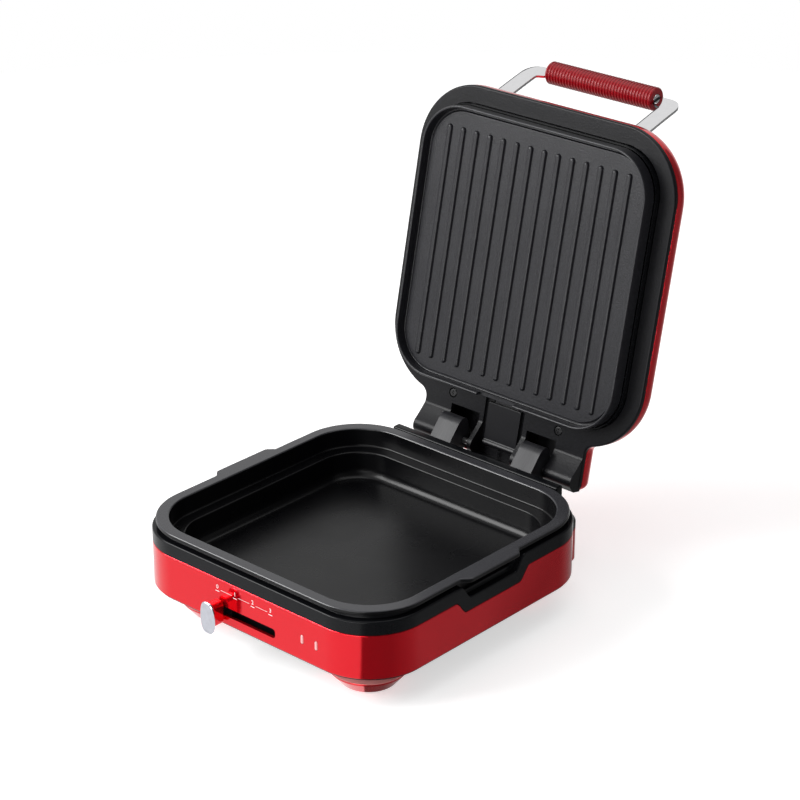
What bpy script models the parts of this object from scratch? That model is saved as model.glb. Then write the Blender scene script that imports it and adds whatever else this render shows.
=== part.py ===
# Pancake and sandwich maker: a deep frying pan in a heated base, under a hinged lid with a ribbed plate.
# Lengths are in metres. Places are written in the base's own frame: x to the right, y to the back and
# z up from the red housing's lower edge. The lid's pieces are written as they lie with the lid shut.

import math

import bmesh
import bpy
from mathutils import Vector

MM = 0.001

# Steps and shares
CORNER_STEPS = 6
FILLET_STEPS = 3
ROUND_STEPS = 24
BEND_STEPS = 5
BEAD_STEPS = 6
BLEND_SHARES = (0.0, 0.25, 0.5, 0.75, 1.0)
QUARTER_SHARES = (0.0, 0.3, 0.6, 1.0)
CROWN_SHARES = (0.8, 0.55, 0.28)

# Whole object
BODY = 250 * MM
GAP = 0.3 * MM
WALL = 2.5 * MM
EDGE = 0.8 * MM
LID_OPEN = math.radians(101.619)
CENTRE_BACK = 73 * MM

# Base housing and its black trim
BASE_CORNER = 46.5 * MM
HOUSING_HIGH = 35 * MM
HOUSING_DIP = 10.7 * MM
HOUSING_DIP_HALF = 29.3 * MM
HOUSING_DIP_BLEND = 12 * MM
TRIM_HIGH = 46 * MM
TRIM_DIP = 11 * MM
TRIM_DIP_HALF = 24.6 * MM
TRIM_DIP_BLEND = 11 * MM
DIP_BACK = 3 * MM
TRIM_RIDGE_HIGH = 49.2 * MM
TRIM_ROUND = 1.8 * MM
TRIM_FACE = 5.6 * MM
TRIM_SKIRT = 2 * MM
TRIM_SKIRT_LOW = 30 * MM
BOTTOM_THICK = 2 * MM
BOTTOM_DROP = 1.2 * MM
BOTTOM_INSET = 1.2 * MM
BOTTOM_RIM_HIGH = 3.5 * MM

# Feet
FRONT_FOOT_INSET = 49 * MM
REAR_FOOT_INSET = 53 * MM
FRONT_FOOT_END_INSET = 47.8 * MM
REAR_FOOT_END_INSET = 33 * MM
FOOT_HIGH = 26 * MM
FOOT_RADIUS = 21.4 * MM
FOOT_TOP_RADIUS = 29.4 * MM
FOOT_THICK = 11.5 * MM
FOOT_NECK = 16 * MM
FOOT_RISE = 6 * MM
SCREW_SHANK = 1.8 * MM
SCREW_HEAD = 4.2 * MM
SCREW_HEAD_THICK = 1.5 * MM

# Deep pan
PAN_RIM_INSET = 1 * MM
PAN_RIM_CORNER = 50 * MM
PAN_RIM_HIGH = 53 * MM
PAN_RIM_THICK = 3.5 * MM
PAN_RIM_WIDE = 9.25 * MM
PAN_MOUTH_CORNER = 43 * MM
PAN_WALL = 1.5 * MM
PAN_LEDGE_HIGH = 37.4 * MM
PAN_LEDGE_WIDE = 10.75 * MM
PAN_WELL_CORNER = 34 * MM
PAN_FLOOR_HIGH = 16 * MM
PAN_FILLET = 8 * MM
PAN_FLOOR_THICK = 2.5 * MM
PAN_TAB = 5.5 * MM
PAN_TAB_HALF = 25.2 * MM
PAN_TAB_BLEND = 8 * MM

# Hinge
HINGE_BEHIND = 26.578 * MM
HINGE_Z = 48.251 * MM
PIN_RADIUS = 2.5 * MM
PIN_SEAT = 3.65 * MM
ARM_INNER = 31 * MM
ARM_WIDE = 20.5 * MM
ARM_AHEAD = 25.578 * MM
ARM_FOOT = 8.5 * MM
ARM_BACK = 5.9 * MM
ARM_HUB = 7 * MM
ARM_TOP = 19.3 * MM
ARM_SLOPE_FOOT = 5.5 * MM
ARM_KNEE = 14 * MM
ARM_NECK_RISE = 4 * MM
ARM_HUB_BEND = (235, 318)
ARM_TOP_BEND = (30, 134)
REAR_INSET = 21 * MM
REAR_BEHIND = 9 * MM
REAR_DEEP = 74 * MM
REAR_CORNER = 14 * MM
REAR_SPLIT = 25 * MM
REAR_TOP = 34 * MM
REAR_TOP_ROUND = 4 * MM

# Lid shell and frame, lid shut
FACE = 54.5 * MM
LID_CORNER = 53.5 * MM
FRAME_THICK = 3.7 * MM
FRAME_ROUND = 1.5 * MM
SHELL_START = 58.5 * MM
SHELL_SHOULDER = 62 * MM
SHELL_ROUND = 15 * MM
SHELL_CROWN = 1.8 * MM
NECK_INSET = 44 * MM
NECK_BEHIND = 10.422 * MM
NECK_BEND = 6 * MM
NECK_CORNER = 6 * MM
FRAME_WIDE = 13.75 * MM
RECESS_CORNER = 37 * MM
BARREL_LOW = 5.25 * MM
BARREL_FRONT = 17.1 * MM
BARREL_REAR = 9.4 * MM
BARREL_BEND = (205, 280)
SLOT_ROOM_INNER = 7 * MM
SLOT_ROOM_OUTER = 1.8 * MM
SLOT_AHEAD = 23.578 * MM
FRAME_SCREW_X = 53.6 * MM
FRAME_SCREW_INSET = 5.5 * MM
FRAME_SCREW_RECESS = 4 * MM
FRAME_SCREW_SUNK = 1.9 * MM
FRAME_SCREW_LONG = 9 * MM

# Ribbed plate, lid shut
PLATE_GAP = 2 * MM
PLATE_CORNER = 36 * MM
LIP_PROUD = 16.3 * MM
LIP_THICK = 2 * MM
CHANNEL_WIDE = 2.3 * MM
CHANNEL_DEEP = 1.8 * MM
PLATE_FACE_PROUD = 9.5 * MM
PLATE_THICK = 3.5 * MM
PLATE_RIM_HIGH = 50 * MM
LIP_NOTCH_HALF = 18.3 * MM
LIP_NOTCH_TO = 43 * MM
RIB_COUNT = 14
RIB_SIDE_INSET = 21.5 * MM
RIB_END_INSET = 15.25 * MM
RIB_WIDE = 5 * MM
RIB_PROUD = 1.9 * MM
RIB_BACK = 1.6 * MM
LUG_HALF = 12 * MM
LUG_THICK = 3 * MM
LUG_REACH = 9 * MM

# Latch of the ribbed plate
LATCH_HALF = 16.2 * MM
LATCH_AHEAD = 35.878 * MM
LATCH_LONG = 35.5 * MM
LATCH_THICK = 2.6 * MM
LATCH_PROUD = 0.6 * MM
LATCH_BEAD = 1.6 * MM
LATCH_BEAD_BEND = (200, 360)
LATCH_SLACK = 3.8 * MM
LATCH_BEHIND = 7.422 * MM
SPRING_RADIUS = 1 * MM
SPRING_WIRE = 0.25 * MM
SPRING_TURNS = 6
SPRING_TURN_STEPS = 8

# Handle, lid shut
STRAP_WIDE = 15 * MM
STRAP_THICK = 2.2 * MM
STRAP_TAB = 7.7 * MM
STRAP_TAB_HIGH = 9 * MM
STRAP_CORNER = 12 * MM
STRAP_STEPS = 14
STRAP_FOOT_INSET = 8.5 * MM
STRAP_FOOT_SUNK = 3.5 * MM
GRIP_AHEAD = 13.5 * MM
GRIP_ABOVE = 39 * MM
GRIP_RADIUS = 9.5 * MM
GRIP_HALF = 51.5 * MM
GRIP_PLAY = 0.8 * MM
GRIP_RIDGES = 36
RIDGE_DEEP = 1 * MM
ROD_RADIUS = 4 * MM

# Lever and lamps on the front
SLIT_HALF = 29.5 * MM
SLIT_LOW = 7 * MM
SLIT_HIGH = 14.5 * MM
KNOB_X = 25.2 * MM
KNOB_Z = 9.6 * MM
KNOB_WIDE = 15.2 * MM
KNOB_HIGH = 25.6 * MM
KNOB_BODY_WIDE = 9.6 * MM
KNOB_BODY_HIGH = 18.6 * MM
KNOB_BODY_CORNER = 3.4 * MM
KNOB_PROUD = 2 * MM
KNOB_THICK = 10.5 * MM
KNOB_FACE = 2.2 * MM
STEM_HALF = 3.5 * MM
CARRIAGE_HALF = 8 * MM
CARRIAGE_DEEP = 4.6 * MM
CARRIAGE_HIGH = 13 * MM
CONTROL_DEEP = 6.4 * MM
CONTROL_HIGH = 18 * MM
LAMP_X = (56.1 * MM, 69.8 * MM)
LAMP_Z = 17 * MM
LAMP_WIDE = 2.5 * MM
LAMP_HIGH = 7 * MM
LAMP_LONG = 5 * MM
LAMP_PROUD = 0.6 * MM
HOLDER_HIGH = 16 * MM
HOLDER_SIDE = 5 * MM

# Heating pieces
TRAY_ROOM = 6 * MM
TRAY_CORNER = 42 * MM
TRAY_FLANGE = 8.4 * MM
TRAY_THICK = 1 * MM
TRAY_LOW = 1.5 * MM
TUBE_RADIUS = 3.2 * MM
TUBE_INSET = 32 * MM
TUBE_CORNER = 24 * MM
TUBE_LEG_HALF = 18 * MM
TUBE_LEG_OUT = 24 * MM
TUBE_LEG_BEND = (210, 270)
CLIP_LONG = 14 * MM
CLIP_WIDE = 6 * MM
SENSOR_RADIUS = 11 * MM
REFLECTOR_HIGH = 66 * MM
REFLECTOR_FLANGE = 4 * MM
TERMINAL_X = 6 * MM
TERMINAL_LONG = 34 * MM
TERMINAL_DEEP = 4.8 * MM
TERMINAL_HIGH = 13 * MM
TERMINAL_Z = 8 * MM
GLAND_INSET = 34 * MM
GLAND_Z = 8 * MM
GLAND_RADIUS = 6.5 * MM
GLAND_BORE = 3.6 * MM
GLAND_OUT = 6 * MM
GLAND_FLANGE = 1.6 * MM

# Worked-out places
HALF = BODY / 2
FRONT_FOOT_Y = -HALF + FRONT_FOOT_END_INSET
REAR_FOOT_Y = HALF - REAR_FOOT_END_INSET
FOOT_ROWS = (("front", FRONT_FOOT_Y, HALF - FRONT_FOOT_INSET), ("rear", REAR_FOOT_Y, HALF - REAR_FOOT_INSET))
FOOT_SPOTS = [(f"{row}_{hand}", side * across, along)
              for row, along, across in FOOT_ROWS for hand, side in (("left", -1), ("right", 1))]
RIM_HALF = HALF - PAN_RIM_INSET
MOUTH_HALF = RIM_HALF - PAN_RIM_WIDE
WELL_HALF = MOUTH_HALF - PAN_LEDGE_WIDE
RECESS_HALF = HALF - FRAME_WIDE
PLATE_HALF = RECESS_HALF - PLATE_GAP
HINGE_Y = HALF + HINGE_BEHIND
ARM_FRONT = HINGE_Y - ARM_AHEAD
REAR_HALF = HALF - REAR_INSET
REAR_BACK = HALF + REAR_BEHIND
GLAND_X = REAR_HALF - GLAND_INSET
NECK_HALF = HALF - NECK_INSET
NECK_BACK = HINGE_Y + NECK_BEHIND
NECK_START = HALF + NECK_BEND
SLOT_FRONT = HINGE_Y - SLOT_AHEAD
SLOT_INNER = ARM_INNER - SLOT_ROOM_INNER
SLOT_OUTER = ARM_INNER + ARM_WIDE + SLOT_ROOM_OUTER
PIN_INNER = SLOT_INNER - PIN_SEAT
PIN_OUTER = SLOT_OUTER + PIN_SEAT
FRAME_SCREW_Y = HALF - FRAME_SCREW_INSET
LATCH_FRONT = HINGE_Y - LATCH_AHEAD
LATCH_BACK = HINGE_Y + LATCH_BEHIND
TRAY_HALF = WELL_HALF + TRAY_ROOM
TUBE_HALF = WELL_HALF - TUBE_INSET
TUBE_LEG_Y = TUBE_HALF + TUBE_LEG_OUT
GRIP_Y = HALF + GRIP_AHEAD
BOTTOM_TOP = BOTTOM_THICK - BOTTOM_DROP
FLOOR_Z = -BOTTOM_DROP - FOOT_HIGH
SHELL_TOP = SHELL_SHOULDER + SHELL_ROUND
STRAP_INNER = GRIP_HALF + GRIP_PLAY + STRAP_TAB
STRAP_FOOT_Y = HALF - STRAP_FOOT_INSET
STRAP_FOOT_Z = SHELL_TOP - STRAP_FOOT_SUNK
GRIP_Z = SHELL_TOP + GRIP_ABOVE
FRAME_TOP = FACE + FRAME_THICK
LIP_CREST = FACE - LIP_PROUD
PLATE_FACE = FACE - PLATE_FACE_PROUD
PLATE_BACK = PLATE_FACE + PLATE_THICK
LATCH_LOW = FACE - LATCH_PROUD
LATCH_TOP = LATCH_LOW + LATCH_THICK
POCKET_TOP = LATCH_TOP + GAP
POCKET_HALF = LATCH_HALF + LATCH_SLACK
HEATER_Z = PAN_FLOOR_HIGH - PAN_FLOOR_THICK - GAP - TUBE_RADIUS - GAP
UPPER_TUBE_Z = PLATE_BACK + GAP + TUBE_RADIUS + GAP
HINGE = Vector((0, HINGE_Y, HINGE_Z))


def clear_scene():
    for item in list(bpy.data.objects):
        bpy.data.objects.remove(item, do_unlink=True)


def collection(name):
    made = bpy.data.collections.new(name)
    bpy.context.scene.collection.children.link(made)
    return made


def paint(name, colour, roughness, metallic=0.0):
    made = bpy.data.materials.new(name)
    made.use_nodes = True
    shader = made.node_tree.nodes["Principled BSDF"]
    shader.inputs["Base Color"].default_value = (*colour, 1.0)
    shader.inputs["Roughness"].default_value = roughness
    shader.inputs["Metallic"].default_value = metallic
    made.diffuse_color = (*colour, 1.0)
    return made


clear_scene()
PARTS = collection("pancake_and_sandwich_maker")
CUTTERS = collection("cutters")
RED = paint("red_gloss", (0.68, 0.03, 0.05), 0.2)
BLACK = paint("black_satin", (0.03, 0.031, 0.034), 0.45)
COATED = paint("non_stick", (0.035, 0.035, 0.038), 0.4)
GREY = paint("grey_satin", (0.11, 0.11, 0.12), 0.45)
CHROME = paint("chrome", (0.85, 0.85, 0.87), 0.12, 1.0)
STEEL = paint("steel", (0.55, 0.55, 0.56), 0.35, 1.0)
TUBE = paint("heater_tube", (0.25, 0.22, 0.2), 0.5, 1.0)
GRIP = paint("red_grip", (0.5, 0.02, 0.04), 0.35)
LAMP = paint("lamp_lens", (0.9, 0.85, 0.8), 0.15)


def empty(name, at, holder=None):
    made = bpy.data.objects.new(name, None)
    made.location = at
    made.parent = holder
    PARTS.objects.link(made)
    return made


MAKER = empty("maker", (0, -CENTRE_BACK, -FLOOR_Z))
LID = empty("lid_axis", HINGE, MAKER)
LID.rotation_euler.x = -LID_OPEN
ORIGINS = {MAKER.name: Vector((0, 0, 0)), LID.name: HINGE}


def place(piece, holder, at=(0, 0, 0), turn=(0, 0, 0)):
    """Hangs a piece on its holder, at a place written in the base's frame."""
    piece.parent = holder
    piece.location = Vector(at) - ORIGINS[holder.name]
    piece.rotation_euler = turn
    return piece


def solid(name, mesh_maker, colour, holder, at=(0, 0, 0), turn=(0, 0, 0), smooth=True):
    bmesh.ops.recalc_face_normals(mesh_maker, faces=mesh_maker.faces)
    mesh = bpy.data.meshes.new(name)
    mesh_maker.to_mesh(mesh)
    mesh_maker.free()
    if smooth:
        mesh.shade_smooth()
        mesh.set_sharp_from_angle(angle=math.radians(35))
    piece = bpy.data.objects.new(name, mesh)
    if colour is None:
        CUTTERS.objects.link(piece)
        piece.hide_render = True
        piece.display_type = "WIRE"
    else:
        mesh.materials.append(colour)
        PARTS.objects.link(piece)
    return place(piece, holder, at, turn)


def skin(name, loops, colour, holder, closed=False, at=(0, 0, 0), turn=(0, 0, 0)):
    """A loft through loops of equal counts: capped at both ends, or closed on itself as a ring."""
    made = bmesh.new()
    rows = [[made.verts.new(point) for point in loop] for loop in loops]
    pairs = list(zip(rows, rows[1:]))
    if closed:
        pairs.append((rows[-1], rows[0]))
    for lower, upper in pairs:
        for here in range(len(lower)):
            after = (here + 1) % len(lower)
            made.faces.new((lower[here], lower[after], upper[after], upper[here]))
    if not closed:
        made.faces.new(list(reversed(rows[0])))
        made.faces.new(rows[-1])
    return solid(name, made, colour, holder, at, turn)


def box(name, size, middle, colour, holder, edge=0.0):
    made = bmesh.new()
    bmesh.ops.create_cube(made, size=1)
    bmesh.ops.scale(made, vec=size, verts=made.verts)
    piece = solid(name, made, colour, holder, middle, smooth=False)
    if edge:
        soften(piece, edge)
    return piece


def twin_boxes(name, size, middle, holder):
    """One cutter of two equal boxes, one on each side of the plane between left and right."""
    made = bmesh.new()
    for side in (-1, 1):
        corners = bmesh.ops.create_cube(made, size=1)["verts"]
        bmesh.ops.scale(made, vec=size, verts=corners)
        bmesh.ops.translate(made, vec=(side * middle[0], middle[1], middle[2]), verts=corners)
    return solid(name, made, None, holder, smooth=False)


def soften(piece, edge, segments=2):
    bevel = piece.modifiers.new("soft edges", "BEVEL")
    bevel.width = edge
    bevel.segments = segments
    bevel.limit_method = "ANGLE"


def rod(name, radius, long, middle, colour, holder, turn=(0, 0, 0), steps=ROUND_STEPS, edge=0.0):
    made = bmesh.new()
    bmesh.ops.create_cone(made, cap_ends=True, segments=steps, radius1=radius, radius2=radius, depth=long)
    piece = solid(name, made, colour, holder, middle, turn)
    if edge:
        soften(piece, edge, 1)
    return piece


def turned(name, profile, colour, holder, at=(0, 0, 0), turn=(0, 0, 0), steps=ROUND_STEPS, ring=False):
    """A turned piece: its profile of (radius, height) runs down the outer side at +X."""
    made = bmesh.new()
    points = [made.verts.new((radius, 0, high)) for radius, high in profile]
    pairs = list(zip(points, points[1:]))
    if ring:
        pairs.append((points[-1], points[0]))
    for pair in pairs:
        made.edges.new(pair)
    piece = solid(name, made, colour, holder, at, turn, smooth=False)
    screw = piece.modifiers.new("turn", "SCREW")
    screw.steps = steps
    screw.render_steps = steps
    screw.use_merge_vertices = True
    screw.merge_threshold = 0.00001
    return piece


def slab(name, outline, thick, colour, holder, at=(0, 0, 0), turn=(0, 0, 0)):
    """A flat outline, extruded to both sides of its plane, as a 2D curve turned into a mesh."""
    curve = bpy.data.curves.new(name, "CURVE")
    curve.dimensions = "2D"
    curve.fill_mode = "BOTH"
    curve.extrude = thick / 2
    spline = curve.splines.new("POLY")
    spline.points.add(len(outline) - 1)
    for point, (across, up) in zip(spline.points, outline):
        point.co = (across, up, 0, 1)
    spline.use_cyclic_u = True
    return from_curve(name, curve, colour, holder, at, turn)


def tube(name, points, radius, colour, holder, at=(0, 0, 0), turn=(0, 0, 0), sides=2):
    curve = bpy.data.curves.new(name, "CURVE")
    curve.dimensions = "3D"
    curve.bevel_depth = radius
    curve.bevel_resolution = sides
    curve.use_fill_caps = True
    spline = curve.splines.new("POLY")
    spline.points.add(len(points) - 1)
    for point, spot in zip(spline.points, points):
        point.co = (*spot, 1)
    return from_curve(name, curve, colour, holder, at, turn)


def from_curve(name, curve, colour, holder, at, turn):
    drawn = bpy.data.objects.new("drawn", curve)
    PARTS.objects.link(drawn)
    bpy.context.view_layer.update()
    ready = drawn.evaluated_get(bpy.context.evaluated_depsgraph_get())
    mesh = bpy.data.meshes.new_from_object(ready)
    bpy.data.objects.remove(drawn, do_unlink=True)
    made = bmesh.new()
    made.from_mesh(mesh)
    bmesh.ops.remove_doubles(made, verts=made.verts, dist=0.00001)
    bpy.data.meshes.remove(mesh)
    return solid(name, made, colour, holder, at, turn)


def change(piece, cutter, how="DIFFERENCE"):
    step = piece.modifiers.new(f"{how.lower()} {cutter.name}", "BOOLEAN")
    step.operation = how
    step.solver = "EXACT"
    step.object = cutter
    return piece


def arc(middle, radius, start, end, steps):
    """Points on an arc from one angle to another, in degrees."""
    spots = []
    for step in range(steps + 1):
        angle = math.radians(start + (end - start) * step / steps)
        spots.append((middle[0] + radius * math.cos(angle), middle[1] + radius * math.sin(angle)))
    return spots


def ease(place_y, flat, blend):
    """One within the flat half length, zero past the blend, and a smooth step between."""
    share = min(max((abs(place_y) - flat) / blend, 0.0), 1.0)
    return 1 - share * share * (3 - 2 * share)


def stations(middle, *runs):
    """Places along a side where a dip or a tab starts, ends and bends."""
    spots = {flat + share * blend for flat, blend in runs for share in BLEND_SHARES}
    return sorted({middle - spot for spot in spots} | {middle + spot for spot in spots})


def rounded(half_x, half_y, radius, side=()):
    """A rounded rectangle, anticlockwise, with extra points along its left and right sides."""
    inner_x = half_x - radius
    inner_y = half_y - radius
    spots = [(half_x, spot) for spot in side]
    spots += arc((inner_x, inner_y), radius, 0, 90, CORNER_STEPS)
    spots += arc((-inner_x, inner_y), radius, 90, 180, CORNER_STEPS)
    spots += [(-half_x, spot) for spot in reversed(side)]
    spots += arc((-inner_x, -inner_y), radius, 180, 270, CORNER_STEPS)
    spots += arc((inner_x, -inner_y), radius, 270, 360, CORNER_STEPS)
    return spots


def level(outline, high):
    return [(across, along, high) for across, along in outline]


def square_loop(half, corner, high, side=(), inset=0.0):
    return level(rounded(half - inset, half - inset, corner - inset, side), high)


def lowered(loop, drop, flat, blend):
    """The same loop, let down where the two sides dip, a little behind their middle."""
    return [(x, y, z - drop * ease(y - DIP_BACK, flat, blend)) for x, y, z in loop]


def base_outline(inset, side=()):
    return rounded(HALF - inset, HALF - inset, BASE_CORNER - inset, side)


def lid_outline(inset):
    """The lid's outline: a rounded square that narrows at the back into the hinge's neck."""
    middle = HALF - LID_CORNER
    reach = NECK_START - middle
    offset = NECK_HALF - middle
    fillet = (reach * reach + offset * offset - LID_CORNER * LID_CORNER) / (2 * (LID_CORNER - offset))
    bend = math.degrees(math.atan2(reach, offset + fillet))
    neck = NECK_HALF - NECK_CORNER
    rear = NECK_BACK - NECK_CORNER
    half = arc((middle, -middle), LID_CORNER - inset, -90, 0, CORNER_STEPS)
    half += arc((middle, middle), LID_CORNER - inset, 0, bend, CORNER_STEPS)
    half += arc((NECK_HALF + fillet, NECK_START), fillet + inset, 180 + bend, 180, FILLET_STEPS)
    half += arc((neck, rear), NECK_CORNER - min(inset, NECK_CORNER - EDGE), 0, 90, FILLET_STEPS)
    if inset > NECK_CORNER - EDGE:
        extra = inset - NECK_CORNER + EDGE
        tail = [(x - extra, y - extra) for x, y in half[-FILLET_STEPS - 1:]]
        half = half[:-FILLET_STEPS - 1] + tail
    return half + [(-x, y) for x, y in reversed(half)]


def quarter(width, height, start_inset, start_z):
    """Insets and heights of a rounded shoulder that climbs inward."""
    spots = []
    for share in QUARTER_SHARES:
        angle = math.radians(90 * share)
        spots.append((start_inset + width * (1 - math.cos(angle)), start_z + height * math.sin(angle)))
    return spots


# Base

def dip_stations():
    return stations(DIP_BACK, (HOUSING_DIP_HALF, HOUSING_DIP_BLEND), (TRIM_DIP_HALF, TRIM_DIP_BLEND))


def base_shell():
    side = dip_stations()
    outer = [(EDGE, 0.0), (0.0, EDGE)]
    top = [(0.0, HOUSING_HIGH - EDGE), (EDGE, HOUSING_HIGH), (WALL, HOUSING_HIGH)]
    loops = [level(base_outline(inset, side), high) for inset, high in outer]
    for inset, high in top:
        loop = level(base_outline(inset, side), high)
        loops.append(lowered(loop, HOUSING_DIP, HOUSING_DIP_HALF, HOUSING_DIP_BLEND))
    loops.append(level(base_outline(WALL, side), 0.0))
    shell = skin("base_shell", loops, RED, MAKER, closed=True)
    front = -HALF + WALL / 2
    slit = (2 * SLIT_HALF, 4 * WALL, SLIT_HIGH - SLIT_LOW)
    change(shell, box("slit_cutter", slit, (0, front, (SLIT_LOW + SLIT_HIGH) / 2), None, MAKER))
    for count, lamp_x in enumerate(LAMP_X):
        window = (LAMP_WIDE + 2 * GAP, 4 * WALL, LAMP_HIGH + 2 * GAP)
        change(shell, box(f"lamp_cutter_{count}", window, (lamp_x, front, LAMP_Z), None, MAKER))
    return shell


def base_trim():
    side = dip_stations()
    ridge = TRIM_FACE + 2 * GAP
    inner = HALF - MOUTH_HALF - PAN_WALL - 2 * GAP
    under = TRIM_HIGH - TRIM_SKIRT
    skirt = inner - TRIM_SKIRT
    seat = HOUSING_HIGH + GAP
    half_round = TRIM_ROUND / 3
    top = [
        (0.0, TRIM_HIGH - TRIM_ROUND), (half_round, TRIM_HIGH - half_round), (TRIM_ROUND, TRIM_HIGH),
        (TRIM_FACE, TRIM_HIGH), (ridge, TRIM_RIDGE_HIGH), (inner, TRIM_RIDGE_HIGH),
    ]
    loops = [lowered(level(base_outline(0.0, side), seat), HOUSING_DIP, HOUSING_DIP_HALF, HOUSING_DIP_BLEND)]
    for inset, high in top:
        loops.append(lowered(level(base_outline(inset, side), high), TRIM_DIP, TRIM_DIP_HALF, TRIM_DIP_BLEND))
    loops.append(level(base_outline(inner, side), TRIM_SKIRT_LOW))
    loops.append(level(base_outline(skirt, side), TRIM_SKIRT_LOW))
    for inset in (skirt, WALL):
        loops.append(lowered(level(base_outline(inset, side), under), TRIM_DIP, TRIM_DIP_HALF, TRIM_DIP_BLEND))
    last = level(base_outline(WALL, side), seat)
    loops.append(lowered(last, HOUSING_DIP, HOUSING_DIP_HALF, HOUSING_DIP_BLEND))
    return skin("base_trim", loops, BLACK, MAKER, closed=True)


def base_bottom():
    inner = WALL + GAP
    profile = [
        (BOTTOM_INSET + EDGE, -BOTTOM_DROP), (BOTTOM_INSET, -BOTTOM_DROP / 2), (BOTTOM_INSET, -GAP),
        (inner, -GAP), (inner, BOTTOM_RIM_HIGH), (inner + BOTTOM_THICK, BOTTOM_RIM_HIGH),
        (inner + BOTTOM_THICK, BOTTOM_TOP),
    ]
    bottom = skin("base_bottom", [level(base_outline(inset), high) for inset, high in profile], BLACK, MAKER)
    for name, across, along in FOOT_SPOTS:
        middle = (across, along, BOTTOM_TOP - BOTTOM_THICK / 2)
        change(bottom, rod(f"hole_{name}", SCREW_SHANK + GAP, 2 * BOTTOM_THICK, middle, None, MAKER))
    return bottom


def feet():
    """Flat cones on necks, each held up by a screw from underneath."""
    bore = SCREW_SHANK + GAP
    head_room = SCREW_HEAD + 2 * GAP
    neck_top = -BOTTOM_DROP - GAP
    ledge = FLOOR_Z + FOOT_THICK
    seat = FLOOR_Z + SCREW_HEAD_THICK + 2 * EDGE
    profile = [
        (bore, neck_top), (FOOT_NECK, neck_top), (FOOT_NECK, ledge + FOOT_RISE),
        (FOOT_TOP_RADIUS - EDGE, ledge), (FOOT_TOP_RADIUS, ledge - EDGE), (FOOT_RADIUS, FLOOR_Z + EDGE),
        (FOOT_RADIUS - EDGE, FLOOR_Z), (head_room, FLOOR_Z), (head_room, seat), (bore, seat),
    ]
    head = seat - GAP
    screw = [
        (0, BOTTOM_TOP), (SCREW_SHANK, BOTTOM_TOP), (SCREW_SHANK, head), (SCREW_HEAD, head),
        (SCREW_HEAD, head - SCREW_HEAD_THICK), (0, head - SCREW_HEAD_THICK),
    ]
    for name, across, along in FOOT_SPOTS:
        turned(f"foot_{name}", profile, RED, MAKER, (across, along, 0), ring=True)
        turned(f"foot_screw_{name}", screw, STEEL, MAKER, (across, along, 0), steps=12)


def rear_outline(inset):
    middle = REAR_BACK - REAR_DEEP / 2
    outline = rounded(REAR_HALF - inset, REAR_DEEP / 2 - inset, REAR_CORNER - inset)
    return [(across, along + middle) for across, along in outline]


def rear_block():
    space = HALF + GAP
    prism = [square_loop(space, BASE_CORNER + GAP, high) for high in (-2 * REAR_TOP, 2 * REAR_TOP)]
    prism = skin("base_prism", prism, None, MAKER)
    lower = [
        (EDGE, -BOTTOM_DROP), (0.0, EDGE - BOTTOM_DROP), (0.0, REAR_SPLIT), (WALL, REAR_SPLIT),
        (WALL, WALL - BOTTOM_DROP),
    ]
    housing = skin("rear_housing", [level(rear_outline(inset), high) for inset, high in lower], RED, MAKER)
    change(housing, prism)
    bore = rod("gland_cutter", GLAND_RADIUS + GAP, 4 * WALL, (GLAND_X, REAR_BACK, GLAND_Z), None, MAKER,
               (math.pi / 2, 0, 0))
    change(housing, bore)
    start = REAR_SPLIT + GAP
    shoulder = REAR_TOP - REAR_TOP_ROUND
    upper = [(WALL, REAR_TOP - WALL), (WALL, start), (0.0, start)]
    upper += quarter(REAR_TOP_ROUND, REAR_TOP_ROUND, 0.0, shoulder)
    cap = skin("rear_cap", [level(rear_outline(inset), high) for inset, high in upper], BLACK, MAKER)
    change(cap, prism)


def cord_gland():
    out = GLAND_OUT
    profile = [
        (GLAND_BORE, out), (GLAND_RADIUS - GLAND_FLANGE, out), (GLAND_RADIUS, GLAND_FLANGE),
        (GLAND_RADIUS + GLAND_FLANGE, GLAND_FLANGE), (GLAND_RADIUS + GLAND_FLANGE, GAP),
        (GLAND_RADIUS, GAP), (GLAND_RADIUS, -WALL - GAP), (GLAND_BORE, -WALL - GAP),
    ]
    turned("cord_gland", profile, BLACK, MAKER, (GLAND_X, REAR_BACK, GLAND_Z), (-math.pi / 2, 0, 0), ring=True)


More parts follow.
